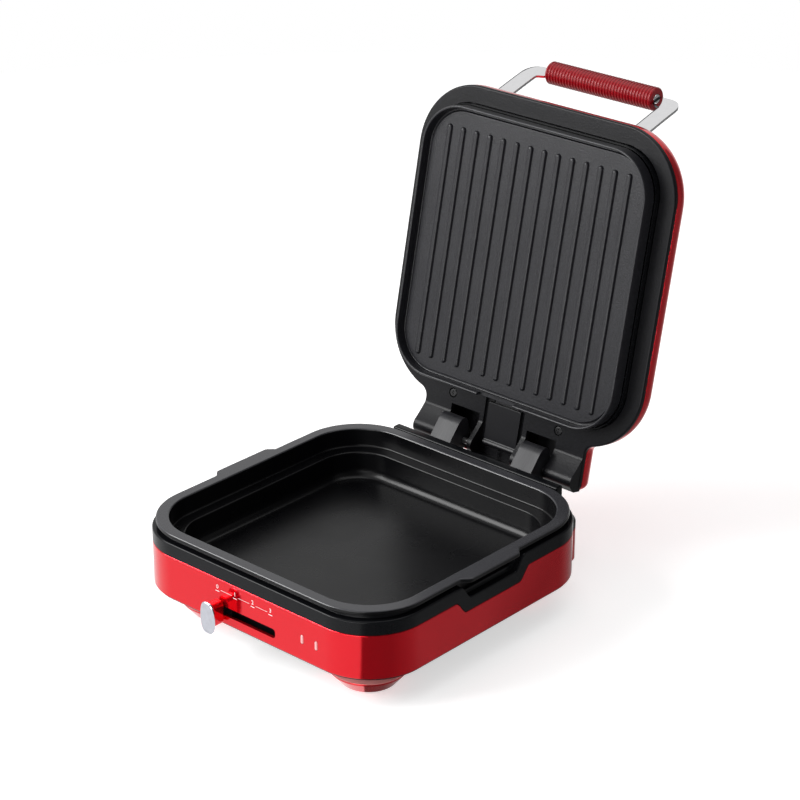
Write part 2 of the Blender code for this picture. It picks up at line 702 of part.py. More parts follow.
def deep_pan():
    side = stations(0.0, (PAN_TAB_HALF, PAN_TAB_BLEND))
    mouth = MOUTH_HALF
    well = WELL_HALF
    under = PAN_RIM_HIGH - PAN_RIM_THICK
    ledge = PAN_LEDGE_HIGH
    bottom = PAN_FLOOR_HIGH - PAN_FLOOR_THICK

    def rim_loop(inset, high):
        spots = []
        for x, y, z in square_loop(RIM_HALF, PAN_RIM_CORNER, high, side, inset):
            out = PAN_TAB * ease(y, PAN_TAB_HALF, PAN_TAB_BLEND)
            spots.append((x + math.copysign(out, x), y, z))
        return spots

    loops = [square_loop(well, PAN_WELL_CORNER, bottom, side, PAN_FILLET)]
    loops.append(square_loop(well, PAN_WELL_CORNER, bottom + PAN_FILLET / 4, side, PAN_FILLET / 4))
    loops.append(square_loop(well + PAN_WALL, PAN_WELL_CORNER + PAN_WALL, bottom + PAN_FILLET, side))
    loops.append(square_loop(well + PAN_WALL, PAN_WELL_CORNER + PAN_WALL, ledge - 2 * PAN_WALL, side))
    loops.append(square_loop(mouth + PAN_WALL, PAN_MOUTH_CORNER + PAN_WALL, ledge - PAN_WALL, side))
    loops.append(square_loop(mouth + PAN_WALL, PAN_MOUTH_CORNER + PAN_WALL, under, side))
    loops.append(rim_loop(EDGE, under))
    loops.append(rim_loop(0.0, under + EDGE))
    loops.append(rim_loop(0.0, PAN_RIM_HIGH - EDGE))
    loops.append(rim_loop(EDGE, PAN_RIM_HIGH))
    loops.append(square_loop(mouth, PAN_MOUTH_CORNER, PAN_RIM_HIGH, side, -2 * EDGE))
    loops.append(square_loop(mouth, PAN_MOUTH_CORNER, PAN_RIM_HIGH - 2 * EDGE, side))
    loops.append(square_loop(mouth, PAN_MOUTH_CORNER, ledge + EDGE, side, EDGE))
    loops.append(square_loop(mouth, PAN_MOUTH_CORNER, ledge, side, 2 * EDGE))
    loops.append(square_loop(well, PAN_WELL_CORNER, ledge, side, -EDGE))
    loops.append(square_loop(well, PAN_WELL_CORNER, ledge - EDGE, side))
    loops.append(square_loop(well, PAN_WELL_CORNER, PAN_FLOOR_HIGH + PAN_FILLET, side, EDGE))
    loops.append(square_loop(well, PAN_WELL_CORNER, PAN_FLOOR_HIGH + PAN_FILLET / 3, side, PAN_FILLET / 3))
    loops.append(square_loop(well, PAN_WELL_CORNER, PAN_FLOOR_HIGH, side, PAN_FILLET))
    return skin("deep_pan", loops, COATED, MAKER)


# Hinge

def side_turn():
    """Turns a slab drawn in its own plane so that it is drawn across y and z, and thick along x."""
    return (math.pi / 2, 0, math.pi / 2)


def hinge_arms():
    foot_low = REAR_TOP + GAP - HINGE_Z
    front = ARM_FRONT - HINGE_Y
    neck = foot_low + ARM_NECK_RISE
    outline = [(front, foot_low), (front + ARM_FOOT, foot_low), (front + ARM_KNEE, neck)]
    outline += arc((0, 0), ARM_HUB, *ARM_HUB_BEND, BEND_STEPS)
    outline += [(ARM_BACK, 0), (ARM_BACK, ARM_TOP - ARM_HUB)]
    outline += arc((0, ARM_TOP - ARM_BACK), ARM_BACK, *ARM_TOP_BEND, BEND_STEPS)
    outline += [(front + ARM_SLOPE_FOOT, GAP), (front, -ARM_HUB)]
    for hand, side in (("left", -1), ("right", 1)):
        middle = side * (ARM_INNER + ARM_WIDE / 2)
        arm = slab(f"hinge_arm_{hand}", outline, ARM_WIDE, GREY, MAKER, (middle, HINGE_Y, HINGE_Z), side_turn())
        bore = rod("arm_bore", PIN_RADIUS + GAP, 2 * ARM_WIDE, (middle, HINGE_Y, HINGE_Z), None, MAKER,
                   (0, math.pi / 2, 0))
        change(arm, bore)
        soften(arm, EDGE, 1)
        pin_middle = side * (PIN_INNER + PIN_OUTER) / 2
        rod(f"hinge_pin_{hand}", PIN_RADIUS, PIN_OUTER - PIN_INNER, (pin_middle, HINGE_Y, HINGE_Z), STEEL,
            MAKER, (0, math.pi / 2, 0), edge=GAP)


# Lid

def lid_shell():
    shoulder = quarter(SHELL_ROUND, SHELL_ROUND, 0.0, SHELL_SHOULDER)
    outer = [level(lid_outline(inset), high) for inset, high in shoulder]
    crown = crown_loops(outer[-1], SHELL_TOP, SHELL_CROWN)
    inner_shoulder = quarter(SHELL_ROUND - WALL, SHELL_ROUND - WALL, WALL, SHELL_SHOULDER)
    inner = [level(lid_outline(inset), high) for inset, high in inner_shoulder]
    inner_crown = crown_loops(inner[-1], SHELL_TOP - WALL, SHELL_CROWN)
    loops = list(reversed(crown)) + list(reversed(outer))
    loops += [level(lid_outline(0.0), SHELL_START + EDGE), level(lid_outline(EDGE / 2), SHELL_START)]
    loops += [level(lid_outline(WALL), SHELL_START)] + inner + inner_crown
    shell = skin("lid_shell", loops, RED, LID)
    middle = (STRAP_INNER + STRAP_WIDE / 2, -STRAP_FOOT_Y - STRAP_THICK / 2, SHELL_TOP)
    size = (STRAP_WIDE + 2 * GAP, STRAP_THICK + 8 * GAP, 4 * WALL)
    return change(shell, twin_boxes("strap_cutter", size, middle, LID))


def crown_loops(loop, high, rise):
    """Loops drawn in towards the middle of the lid, each a little higher than the last."""
    return [[(x * share, y * share, high + rise * (1 - share * share)) for x, y, z in loop]
            for share in CROWN_SHARES]


def lid_frame():
    profile = [
        (FRAME_ROUND, FACE), (FRAME_ROUND / 3, FACE + FRAME_ROUND / 3), (0.0, FACE + FRAME_ROUND),
        (0.0, FRAME_TOP),
    ]
    frame = skin("lid_frame", [level(lid_outline(inset), high) for inset, high in profile], BLACK, LID)
    change(frame, hinge_barrel(), "UNION")
    recess = [square_loop(RECESS_HALF, RECESS_CORNER, high) for high in (HINGE_Z, SHELL_TOP)]
    change(frame, skin("recess_cutter", recess, None, LID))
    reach = NECK_BACK - SLOT_FRONT + BARREL_REAR
    middle = ((SLOT_INNER + SLOT_OUTER) / 2, SLOT_FRONT + reach / 2, HINGE_Z)
    slots = twin_boxes("slot_cutter", (SLOT_OUTER - SLOT_INNER, reach, SHELL_TOP), middle, LID)
    change(frame, slots)
    pocket_front = RECESS_HALF - WALL
    pocket = (2 * POCKET_HALF, LATCH_BACK - pocket_front, POCKET_TOP)
    middle = (0, (LATCH_BACK + pocket_front) / 2, POCKET_TOP / 2)
    change(frame, box("pocket_cutter", pocket, middle, None, LID))
    lug_room = LUG_REACH + 2 * EDGE
    notch = (2 * LUG_HALF + 2 * EDGE, 2 * lug_room, SHELL_TOP)
    change(frame, box("lug_cutter", notch, (0, PLATE_HALF, HINGE_Z), None, LID))
    for side in (-1, 1):
        spot = (side * (PIN_INNER + PIN_OUTER) / 2, HINGE_Y, HINGE_Z)
        bore_long = PIN_OUTER - PIN_INNER + 2 * GAP
        change(frame, rod("pin_bore", PIN_RADIUS + GAP, bore_long, spot, None, LID, (0, math.pi / 2, 0)))
        spot = (side * FRAME_SCREW_X, FRAME_SCREW_Y, FACE)
        change(frame, rod("screw_recess", FRAME_SCREW_RECESS, 2 * FRAME_SCREW_SUNK, spot, None, LID))
        change(frame, rod("screw_bore", SCREW_SHANK + GAP, 4 * FRAME_THICK, spot, None, LID))
    return frame


def hinge_barrel():
    """The thick rear of the frame, a slab across y and z that holds the hinge pins."""
    rear = NECK_BACK - 3 * GAP - HINGE_Y
    face = FACE - HINGE_Z
    low = BARREL_LOW
    start = BARREL_FRONT + PIN_RADIUS
    outline = [(-start, face + 2 * FRAME_ROUND), (-BARREL_FRONT, face), (-low * 2, low / 3)]
    outline += arc((0, 0), low, *BARREL_BEND, BEND_STEPS)
    outline += [(low, -low * 0.75), (BARREL_REAR - EDGE, -EDGE), (BARREL_REAR, low * 0.65), (rear, face)]
    outline += [(rear, face + FRAME_THICK - 2 * GAP), (-start, face + FRAME_THICK - 2 * GAP)]
    wide = 2 * (NECK_HALF - 2 * GAP)
    return slab("hinge_barrel", outline, wide, None, LID, (0, HINGE_Y, HINGE_Z), side_turn())


def frame_screws():
    head = FACE + FRAME_SCREW_SUNK - GAP
    profile = [
        (0, head + FRAME_SCREW_LONG), (SCREW_SHANK, head + FRAME_SCREW_LONG), (SCREW_SHANK, head),
        (FRAME_SCREW_RECESS - 2 * GAP, head), (FRAME_SCREW_RECESS - 2 * GAP, head - SCREW_HEAD_THICK),
        (0, head - SCREW_HEAD_THICK),
    ]
    for hand, side in (("left", -1), ("right", 1)):
        turned(f"frame_screw_{hand}", profile, STEEL, LID, (side * FRAME_SCREW_X, FRAME_SCREW_Y, 0), steps=12)


def grill_plate():
    back = PLATE_RIM_HIGH
    rim = LIP_THICK + CHANNEL_WIDE
    profile = [
        (rim + LIP_THICK, PLATE_BACK), (rim, PLATE_BACK), (rim - EDGE, back), (EDGE, back), (0.0, back - EDGE),
        (0.0, LIP_CREST + EDGE), (LIP_THICK / 4, LIP_CREST), (LIP_THICK * 0.75, LIP_CREST),
        (LIP_THICK, LIP_CREST + EDGE), (LIP_THICK, PLATE_FACE + CHANNEL_DEEP), (rim, PLATE_FACE + CHANNEL_DEEP),
        (rim + GAP, PLATE_FACE),
    ]
    loops = [square_loop(PLATE_HALF, PLATE_CORNER, high, (), inset) for inset, high in profile]
    plate = skin("grill_plate", loops, COATED, LID)
    change(plate, rib_cutter(), "UNION")
    rear = PLATE_HALF
    foot = LIP_THICK * 1.5
    lug_low = LATCH_TOP + GAP
    outline = [
        (rear - foot, PLATE_RIM_HIGH - foot), (rear - EDGE, PLATE_RIM_HIGH - foot), (rear - EDGE, lug_low),
        (rear + LUG_REACH, lug_low), (rear + LUG_REACH, lug_low + LUG_THICK),
        (rear - foot, lug_low + LUG_THICK),
    ]
    lug = slab("plate_lug", outline, 2 * LUG_HALF, None, LID, (0, 0, 0), side_turn())
    change(plate, lug, "UNION")
    notch = (2 * LIP_NOTCH_HALF, 4 * LIP_THICK, 2 * (LIP_NOTCH_TO - LIP_CREST))
    change(plate, box("lip_cutter", notch, (0, rear, LIP_CREST), None, LID))
    return plate


def rib_cutter():
    """All ribs at once: long bars with round ends, sunk a little into the plate's face."""
    made = bmesh.new()
    low = PLATE_FACE + EDGE
    top = PLATE_FACE - RIB_PROUD
    profile = [(0.0, low), (0.0, top + 2 * EDGE), (EDGE / 2, top + EDGE / 2), (EDGE * 2, top)]
    run = PLATE_HALF - RIB_END_INSET - RIB_WIDE / 2
    outermost = PLATE_HALF - RIB_SIDE_INSET
    for count in range(RIB_COUNT):
        across = outermost * (2 * count / (RIB_COUNT - 1) - 1)
        rows = []
        for inset, high in profile:
            half = RIB_WIDE / 2 - inset
            spots = arc((0, run), half, 0, 180, BEAD_STEPS) + arc((0, -run), half, 180, 360, BEAD_STEPS)
            rows.append([made.verts.new((across + x, RIB_BACK + y, high)) for x, y in spots])
        for lower, upper in zip(rows, rows[1:]):
            for here in range(len(lower)):
                after = (here + 1) % len(lower)
                made.faces.new((lower[here], lower[after], upper[after], upper[here]))
        made.faces.new(list(reversed(rows[0])))
        made.faces.new(rows[-1])
    return solid("ribs", made, None, LID)


def plate_latch():
    low = LATCH_LOW
    top = LATCH_TOP
    rear = LATCH_FRONT + LATCH_LONG
    bead = LATCH_BEAD
    outline = [(LATCH_FRONT, low + EDGE), (LATCH_FRONT + EDGE, low), (rear - 3 * bead, low)]
    outline += arc((rear - bead, low), bead, *LATCH_BEAD_BEND, BEAD_STEPS)
    outline += [(rear, top), (LATCH_FRONT, top)]
    latch = slab("plate_latch", outline, 2 * LATCH_HALF, BLACK, LID, (0, 0, 0), side_turn())
    return latch


def latch_spring():
    start = LATCH_FRONT + LATCH_LONG + GAP
    reach = LATCH_BACK - GAP - start
    points = []
    for step in range(SPRING_TURNS * SPRING_TURN_STEPS + 1):
        angle = 2 * math.pi * step / SPRING_TURN_STEPS
        along = start + SPRING_WIRE + (reach - 2 * SPRING_WIRE) * step / (SPRING_TURNS * SPRING_TURN_STEPS)
        points.append((SPRING_RADIUS * math.cos(angle), along, SPRING_RADIUS * math.sin(angle)))
    return tube("latch_spring", points, SPRING_WIRE, STEEL, LID, (0, 0, (LATCH_LOW + LATCH_TOP) / 2), sides=1)


# Handle

def strap_path():
    """The strap's run from inside the shell, out and round to the grip, across y and z."""
    start = (-STRAP_FOOT_Y, STRAP_FOOT_Z)
    bend = (-STRAP_FOOT_Y - STRAP_THICK, SHELL_TOP + STRAP_THICK)
    knee = (-GRIP_Y + STRAP_CORNER - STRAP_THICK, SHELL_TOP + 2 * GRIP_RADIUS)
    end = (-GRIP_Y - STRAP_THICK / 2, GRIP_Z + STRAP_TAB_HIGH / 2)
    bows = [start, bend, knee, end]
    points = []
    for step in range(STRAP_STEPS + 1):
        share = step / STRAP_STEPS
        weights = [(1 - share) ** 3, 3 * share * (1 - share) ** 2, 3 * share ** 2 * (1 - share), share ** 3]
        points.append(tuple(sum(w * bow[axis] for w, bow in zip(weights, bows)) for axis in (0, 1)))
    return points


def handle_straps():
    path = strap_path()
    top = path[-1][1]
    rows = []
    for along, high in path:
        below = top - high
        outer = STRAP_INNER + STRAP_WIDE
        if below < STRAP_CORNER:
            outer -= STRAP_CORNER - math.sqrt(STRAP_CORNER ** 2 - (STRAP_CORNER - below) ** 2)
        tab = STRAP_TAB if below < STRAP_TAB_HIGH else 0.0
        rows.append((STRAP_INNER - tab, outer, along, high))
    for hand, side in (("left", -1), ("right", 1)):
        made = bmesh.new()
        pairs = [[made.verts.new((side * x, along, high)) for x in (inner, outer)]
                 for inner, outer, along, high in rows]
        for lower, upper in zip(pairs, pairs[1:]):
            made.faces.new((lower[0], lower[1], upper[1], upper[0]))
        strap = solid(f"handle_strap_{hand}", made, CHROME, LID)
        thick = strap.modifiers.new("thickness", "SOLIDIFY")
        thick.thickness = STRAP_THICK
        thick.offset = 0
        thick.use_even_offset = True


def handle_grip():
    pitch = 2 * GRIP_HALF / GRIP_RIDGES
    outer = []
    for ridge in range(GRIP_RIDGES):
        low = GRIP_HALF - ridge * pitch
        outer += [(GRIP_RADIUS - RIDGE_DEEP, low), (GRIP_RADIUS, low - pitch / 2)]
    outer.append((GRIP_RADIUS - RIDGE_DEEP, -GRIP_HALF))
    bore = ROD_RADIUS + GAP
    profile = [(bore, GRIP_HALF)] + outer + [(bore, -GRIP_HALF)]
    middle = (0, -GRIP_Y, GRIP_Z)
    turned("handle_grip", profile, GRIP, LID, middle, (0, math.pi / 2, 0), steps=12, ring=True)
    rod_long = 2 * (STRAP_INNER - STRAP_TAB) - 2 * GAP
    rod("handle_rod", ROD_RADIUS, rod_long, middle, CHROME, LID, (0, math.pi / 2, 0), steps=16)


# Lever and lamps

def oval(half_wide, half_high, steps=24):
    spots = []
    for step in range(steps):
        angle = 2 * math.pi * step / steps
        spots.append((half_wide * math.cos(angle), half_high * math.sin(angle)))
    return spots


def stacked(outline, profile):
    """Loops of one kind, one behind another along y, each with its inset from the full outline."""
    return [[(x, -out, z) for x, z in outline(inset)] for inset, out in profile]


def knob_outline(inset):
    return rounded(KNOB_BODY_WIDE / 2 - inset, KNOB_BODY_HIGH / 2 - inset, KNOB_BODY_CORNER - inset)


def cap_outline(inset):
    return oval(KNOB_WIDE / 2 - inset, KNOB_HIGH / 2 - inset)


def lever():
    front = HALF + KNOB_PROUD
    face = front + KNOB_THICK
    body = [(EDGE, front), (0.0, front + EDGE), (0.0, face - EDGE), (EDGE, face)]
    middle_z = (SLIT_LOW + SLIT_HIGH) / 2
    skin("lever_knob", stacked(knob_outline, body), RED, MAKER, at=(-KNOB_X, 0, middle_z))
    cap_face = face + GAP + KNOB_FACE
    cap = [(EDGE, face + GAP), (EDGE / 2, face + GAP + EDGE), (2 * EDGE, cap_face - GAP), (4 * EDGE, cap_face)]
    skin("lever_cap", stacked(cap_outline, cap), CHROME, MAKER, at=(-KNOB_X, 0, KNOB_Z))
    inner = HALF - WALL - GAP
    back = inner - CARRIAGE_DEEP
    stem_long = front - GAP - back
    stem_high = SLIT_HIGH - SLIT_LOW - 2 * GAP
    carriage = box("lever_carriage", (2 * STEM_HALF, stem_long, stem_high),
                   (-KNOB_X, -(front - GAP + back) / 2, middle_z), BLACK, MAKER)
    block = box("carriage_block", (2 * CARRIAGE_HALF, CARRIAGE_DEEP - GAP, CARRIAGE_HIGH),
                (-KNOB_X, -(inner + back + GAP) / 2, middle_z), None, MAKER)
    change(carriage, block, "UNION")
    control_front = back - GAP
    middle = (0, -(control_front - CONTROL_DEEP / 2), middle_z)
    size = (2 * (SLIT_HALF + CARRIAGE_HALF), CONTROL_DEEP, CONTROL_HIGH)
    box("heat_control", size, middle, BLACK, MAKER, EDGE)


def lamps():
    front = HALF + LAMP_PROUD
    for hand, lamp_x in zip(("left", "right"), LAMP_X):
        middle = (lamp_x, -front + LAMP_LONG / 2, LAMP_Z)
        box(f"lamp_{hand}", (LAMP_WIDE, LAMP_LONG, LAMP_HIGH), middle, LAMP, MAKER, GAP)
    start = front - LAMP_LONG - GAP
    deep = start - TRAY_HALF - GAP
    wide = LAMP_X[1] - LAMP_X[0] + 2 * HOLDER_SIDE
    middle = (sum(LAMP_X) / 2, -start + deep / 2, LAMP_Z)
    box("lamp_holder", (wide, deep, HOLDER_HIGH), middle, BLACK, MAKER, EDGE)


# Heating pieces

def reflector_tray():
    flange = TRIM_SKIRT_LOW - GAP
    bend = 2 * TRAY_FLANGE
    profile = [
        (bend, TRAY_LOW), (0.0, TRAY_LOW + TRAY_FLANGE), (0.0, flange - TRAY_THICK),
        (-TRAY_FLANGE, flange - TRAY_THICK), (-TRAY_FLANGE, flange), (TRAY_THICK, flange),
        (TRAY_THICK, TRAY_LOW + TRAY_FLANGE + TRAY_THICK / 2), (bend + TRAY_THICK / 2, TRAY_LOW + TRAY_THICK),
    ]
    loops = [square_loop(TRAY_HALF, TRAY_CORNER, high, (), inset) for inset, high in profile]
    return skin("reflector_tray", loops, STEEL, MAKER)


def heater_path():
    """A square loop of tube, open at the back, whose two ends run out side by side."""
    inner = TUBE_HALF - TUBE_CORNER
    right = [(TUBE_LEG_HALF, TUBE_LEG_Y), (TUBE_LEG_HALF, TUBE_HALF + TUBE_CORNER / 2)]
    leg = (TUBE_LEG_HALF + TUBE_CORNER / 2, TUBE_HALF + TUBE_CORNER / 2)
    right += arc(leg, TUBE_CORNER / 2, *TUBE_LEG_BEND, len(TUBE_LEG_BEND))
    right += arc((inner, inner), TUBE_CORNER, 90, 0, BEND_STEPS)
    right += arc((inner, -inner), TUBE_CORNER, 0, -90, BEND_STEPS)
    return [(x, y, 0) for x, y in right] + [(-x, y, 0) for x, y in reversed(right)]


def heaters():
    tube("lower_heater", heater_path(), TUBE_RADIUS, TUBE, MAKER, (0, 0, HEATER_Z))
    tube("upper_heater", heater_path(), TUBE_RADIUS, TUBE, LID, (0, 0, UPPER_TUBE_Z))
    tray_top = TRAY_LOW + TRAY_THICK + GAP
    below = HEATER_Z - TUBE_RADIUS - GAP - tray_top
    above_start = UPPER_TUBE_Z + TUBE_RADIUS + GAP
    above = REFLECTOR_HIGH - TRAY_THICK - GAP - above_start
    for hand, side in (("left", -1), ("right", 1)):
        box(f"lower_clip_{hand}", (CLIP_WIDE, CLIP_LONG, below), (side * TUBE_HALF, 0, tray_top + below / 2),
            STEEL, MAKER)
        box(f"upper_clip_{hand}", (CLIP_WIDE, CLIP_LONG, above), (side * TUBE_HALF, 0, above_start + above / 2),
            STEEL, LID)
    sensor = PAN_FLOOR_HIGH - PAN_FLOOR_THICK - GAP - tray_top
    rod("pan_thermostat", SENSOR_RADIUS, sensor, (0, 0, tray_top + sensor / 2), BLACK, MAKER, edge=EDGE)
    low = PLATE_BACK + GAP
    high = REFLECTOR_HIGH - TRAY_THICK - GAP
    rod("plate_thermostat", SENSOR_RADIUS, high - low, (0, 0, (low + high) / 2), BLACK, LID, edge=EDGE)


def upper_reflector():
    half = RECESS_HALF - 2 * GAP
    corner = RECESS_CORNER - 2 * GAP
    start = FRAME_TOP + GAP
    rim = PLATE_RIM_HIGH + GAP
    flange = REFLECTOR_FLANGE
    profile = [
        (flange, REFLECTOR_HIGH), (0.0, REFLECTOR_HIGH - flange), (0.0, start + TRAY_THICK),
        (-flange, start + TRAY_THICK), (-flange, start), (0.0, start), (0.0, rim), (TRAY_THICK, rim),
        (TRAY_THICK, REFLECTOR_HIGH - flange - TRAY_THICK / 2),
        (flange + TRAY_THICK / 2, REFLECTOR_HIGH - TRAY_THICK),
    ]
    loops = [square_loop(half, corner, high, (), inset) for inset, high in profile]
    reflector = skin("upper_reflector", loops, STEEL, LID)
    room = (2 * LUG_HALF + 2 * WALL, 2 * (LUG_REACH + WALL), 2 * (LATCH_TOP + LUG_THICK + 2 * GAP - HINGE_Z))
    change(reflector, box("reflector_cutter", room, (0, PLATE_HALF, HINGE_Z), None, LID))
    return reflector


def terminal_block():
    inner = REAR_BACK - WALL - GAP
    middle = (TERMINAL_X, inner - TERMINAL_DEEP / 2, TERMINAL_Z)
    return box("terminal_block", (TERMINAL_LONG, TERMINAL_DEEP, TERMINAL_HIGH), middle, LAMP, MAKER, EDGE)


base_shell()
base_trim()
base_bottom()
feet()
rear_block()
cord_gland()
terminal_block()
reflector_tray()
deep_pan()
hinge_arms()
lid_shell()
lid_frame()
frame_screws()
upper_reflector()
grill_plate()
plate_latch()
latch_spring()
handle_straps()
handle_grip()
heaters()
lever()
lamps()
bpy.context.view_layer.update()
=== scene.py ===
"""Looks of the pancake and sandwich maker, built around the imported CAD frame.

Pieces are written in millimetres: base pieces in the base's own frame, with z up from the red housing's lower edge,
and lid pieces as they lie with the lid shut. dress() moves both into the row frame, in metres, where the materials,
the stage, the lamps and the camera are written. Left and right are those of a user in front.
"""

import math

import bmesh
import bpy
from mathutils import Matrix, Vector

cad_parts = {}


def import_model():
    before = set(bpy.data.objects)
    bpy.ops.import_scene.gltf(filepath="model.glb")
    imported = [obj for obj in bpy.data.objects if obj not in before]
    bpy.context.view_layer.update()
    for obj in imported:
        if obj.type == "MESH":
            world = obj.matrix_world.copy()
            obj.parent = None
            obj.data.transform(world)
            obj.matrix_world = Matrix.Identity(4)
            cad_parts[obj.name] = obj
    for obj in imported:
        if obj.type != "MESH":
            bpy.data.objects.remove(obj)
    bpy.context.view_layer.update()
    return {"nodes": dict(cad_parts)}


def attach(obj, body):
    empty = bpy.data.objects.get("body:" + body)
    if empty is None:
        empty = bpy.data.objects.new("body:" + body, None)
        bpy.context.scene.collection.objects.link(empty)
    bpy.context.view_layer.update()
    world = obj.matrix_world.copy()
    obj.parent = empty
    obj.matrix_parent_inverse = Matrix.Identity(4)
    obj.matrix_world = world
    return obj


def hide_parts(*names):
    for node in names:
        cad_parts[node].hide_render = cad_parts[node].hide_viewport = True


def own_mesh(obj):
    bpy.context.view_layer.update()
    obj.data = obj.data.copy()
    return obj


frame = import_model()

MM = 0.001
SHIFT = Vector((0, -73, 27.2))
HINGE = Vector((0, 151.578, 48.251))
OPEN = Matrix.Rotation(math.radians(-101.619), 4, "X")
HANDS = (("left", -1), ("right", 1))

# Body
BODY_HALF = 125
BASE_CORNER = 46.5
HOUSING_TOP = 35
TRIM_TOP = 46
WALL = 2.5
DIP_MIDDLE = 3
CORNER_STEPS = 26
SIDE_SPOTS = [step * 0.75 for step in range(-60, 61)]

# Feet: the name, x and y of each, then sizes that they share with the floor and the bottom cover
FEET = (("front_left", -76, -77.2), ("front_right", 76, -77.2), ("rear_left", -72, 92), ("rear_right", 72, 92))
FLOOR = -27.2
FOOT_SCREW_HOLE = 2.1

# Front panel. FRONT_CUT is a path through it, for cutters.
FRONT_CUT = ((0, -130), (0, -115))
SLIT_Z = 10.75
LEVER_X = -25.2
LAMPS = (("left", 56.1), ("right", 69.8))
LAMP_Z = 17

# Rear and pan
ARM_SIDES = (31, 51.5)
HINGE_PIN_HOLE = 2.8
GLAND = (70, 134, 8)
PAN_RIM_TOP = 53

# Lid
LID_CORNER = 53.5
LID_FACE = 54.5
SHELL_LOW = 58.5
SHOULDER_LOW = 62
SHELL_TOP = 77
PLATE_HALF = 109.25
NECK_BACK = 162
FRAME_SCREW = (53.6, 119.5)
GRIP = (0, -138.5, 116)

# Heights in the row frame, in metres, above which part of a piece is painted lighter: a painted highlight on the
# feet's upward slopes and a painted sheen on the top of the pan's rim
FOOT_HIGHLIGHT_LOW = 0.0105
PAN_SHEEN_LOW = 0.0795


def base_space(spot):
    return (Vector(spot) + SHIFT) * MM


def lid_space(spot):
    return (HINGE + OPEN @ (Vector(spot) - HINGE) + SHIFT) * MM


# Outlines and paths

def arc(x, y, radius, start, end, steps):
    spots = []
    for step in range(steps + 1):
        angle = math.radians(start + (end - start) * step / steps)
        spots.append((x + radius * math.cos(angle), y + radius * math.sin(angle)))
    return spots


def rounded(half_x, half_y, radius, side=(), steps=CORNER_STEPS):
    """A rectangle with round corners. side lists the places along y that the two sides have points at."""
    inner_x, inner_y = half_x - radius, half_y - radius
    spots = [(half_x, spot) for spot in side]
    spots += arc(inner_x, inner_y, radius, 0, 90, steps)
    spots += arc(-inner_x, inner_y, radius, 90, 180, steps)
    spots += [(-half_x, spot) for spot in reversed(side)]
    spots += arc(-inner_x, -inner_y, radius, 180, 270, steps)
    spots += arc(inner_x, -inner_y, radius, 270, 360, steps)
    return spots


def soft(corners, closed=True, steps=4):
    """A path through corners of any size, each rounded by its last number: how far back the round starts."""
    count = len(corners)
    path = []
    for index, (*spot, back) in enumerate(corners):
        here = Vector(spot)
        if back <= 0 or (not closed and index in (0, count - 1)):
            path.append(tuple(here))
            continue
        before = Vector(corners[index - 1][:-1]) - here
        after = Vector(corners[(index + 1) % count][:-1]) - here
        reach = min(back, before.length / 2, after.length / 2)
        start = here + before.normalized() * reach
        end = here + after.normalized() * reach
        weight = math.sin(before.angle(after) / 2)
        for step in range(steps + 1):
            share = step / steps
            parts = ((1 - share) ** 2, 2 * weight * share * (1 - share), share ** 2)
            spot = (start * parts[0] + here * parts[1] + end * parts[2]) / sum(parts)
            path.append(tuple(spot))
    return path


def level(outline, high):
    return [(x, y, high) for x, y in outline]


def front_outline(x, z, half_x, half_z, radius):
    """A small rounded shape in the plane of the front panel."""
    return [(x + across, z + up) for across, up in rounded(half_x, half_z, radius, steps=8)]


def about_hinge(outline):
    return [(y + HINGE.y, z + HINGE.z) for y, z in outline]


def ease(place, flat, blend):
    """1 within flat of zero, falling smoothly to 0 over the length of the blend."""
    share = min(max((abs(place) - flat) / blend, 0.0), 1.0)
    return 1 - share * share * (3 - 2 * share)


# Pieces

def placed(name, data):
    made = bpy.data.objects.new(name, data)
    bpy.context.scene.collection.objects.link(made)
    return made


def stock(made):
    bmesh.ops.recalc_face_normals(made, faces=made.faces)
    mesh = bpy.data.meshes.new("stock")
    made.to_mesh(mesh)
    made.free()
    return placed("stock", mesh)


def wrap(made, rings, capped=True):
    """Faces between rings of vertices of equal counts, and over both ends."""
    for lower, upper in zip(rings, rings[1:]):
        for here in range(len(lower)):
            after = (here + 1) % len(lower)
            made.faces.new((lower[here], lower[after], upper[after], upper[here]))
    if capped:
        made.faces.new(list(reversed(rings[0])))
        made.faces.new(rings[-1])


def loft(rows, ring=False):
    """A skin through rows of equal counts: capped at both ends, or closed on itself as a ring."""
    made = bmesh.new()
    rings = [[made.verts.new(spot) for spot in row] for row in rows]
    wrap(made, rings + rings[:1] if ring else rings, capped=not ring)
    return stock(made)


def swept(outline, profile, ring=False):
    """An outline drawn at each (inset, height) of a profile."""
    return loft([level(outline(inset), high) for inset, high in profile], ring)


def through(outline, path):
    """An outline across x and z, drawn at each (inset, y) of a path."""
    return loft([[(x, y, z) for x, z in outline(inset)] for inset, y in path])


def slab(outline, start, end, radius=0.0, segments=3):
    """An outline drawn across y and z, thick along x."""
    piece = loft([[(x, y, z) for y, z in outline] for x in (start, end)])
    return bevel(piece, radius, segments) if radius else piece


def box(size, middle, radius=0.0, segments=3):
    made = bmesh.new()
    bmesh.ops.create_cube(made, size=1)
    bmesh.ops.scale(made, vec=size, verts=made.verts)
    bmesh.ops.translate(made, vec=middle, verts=made.verts)
    piece = stock(made)
    return bevel(piece, radius, segments) if radius else piece


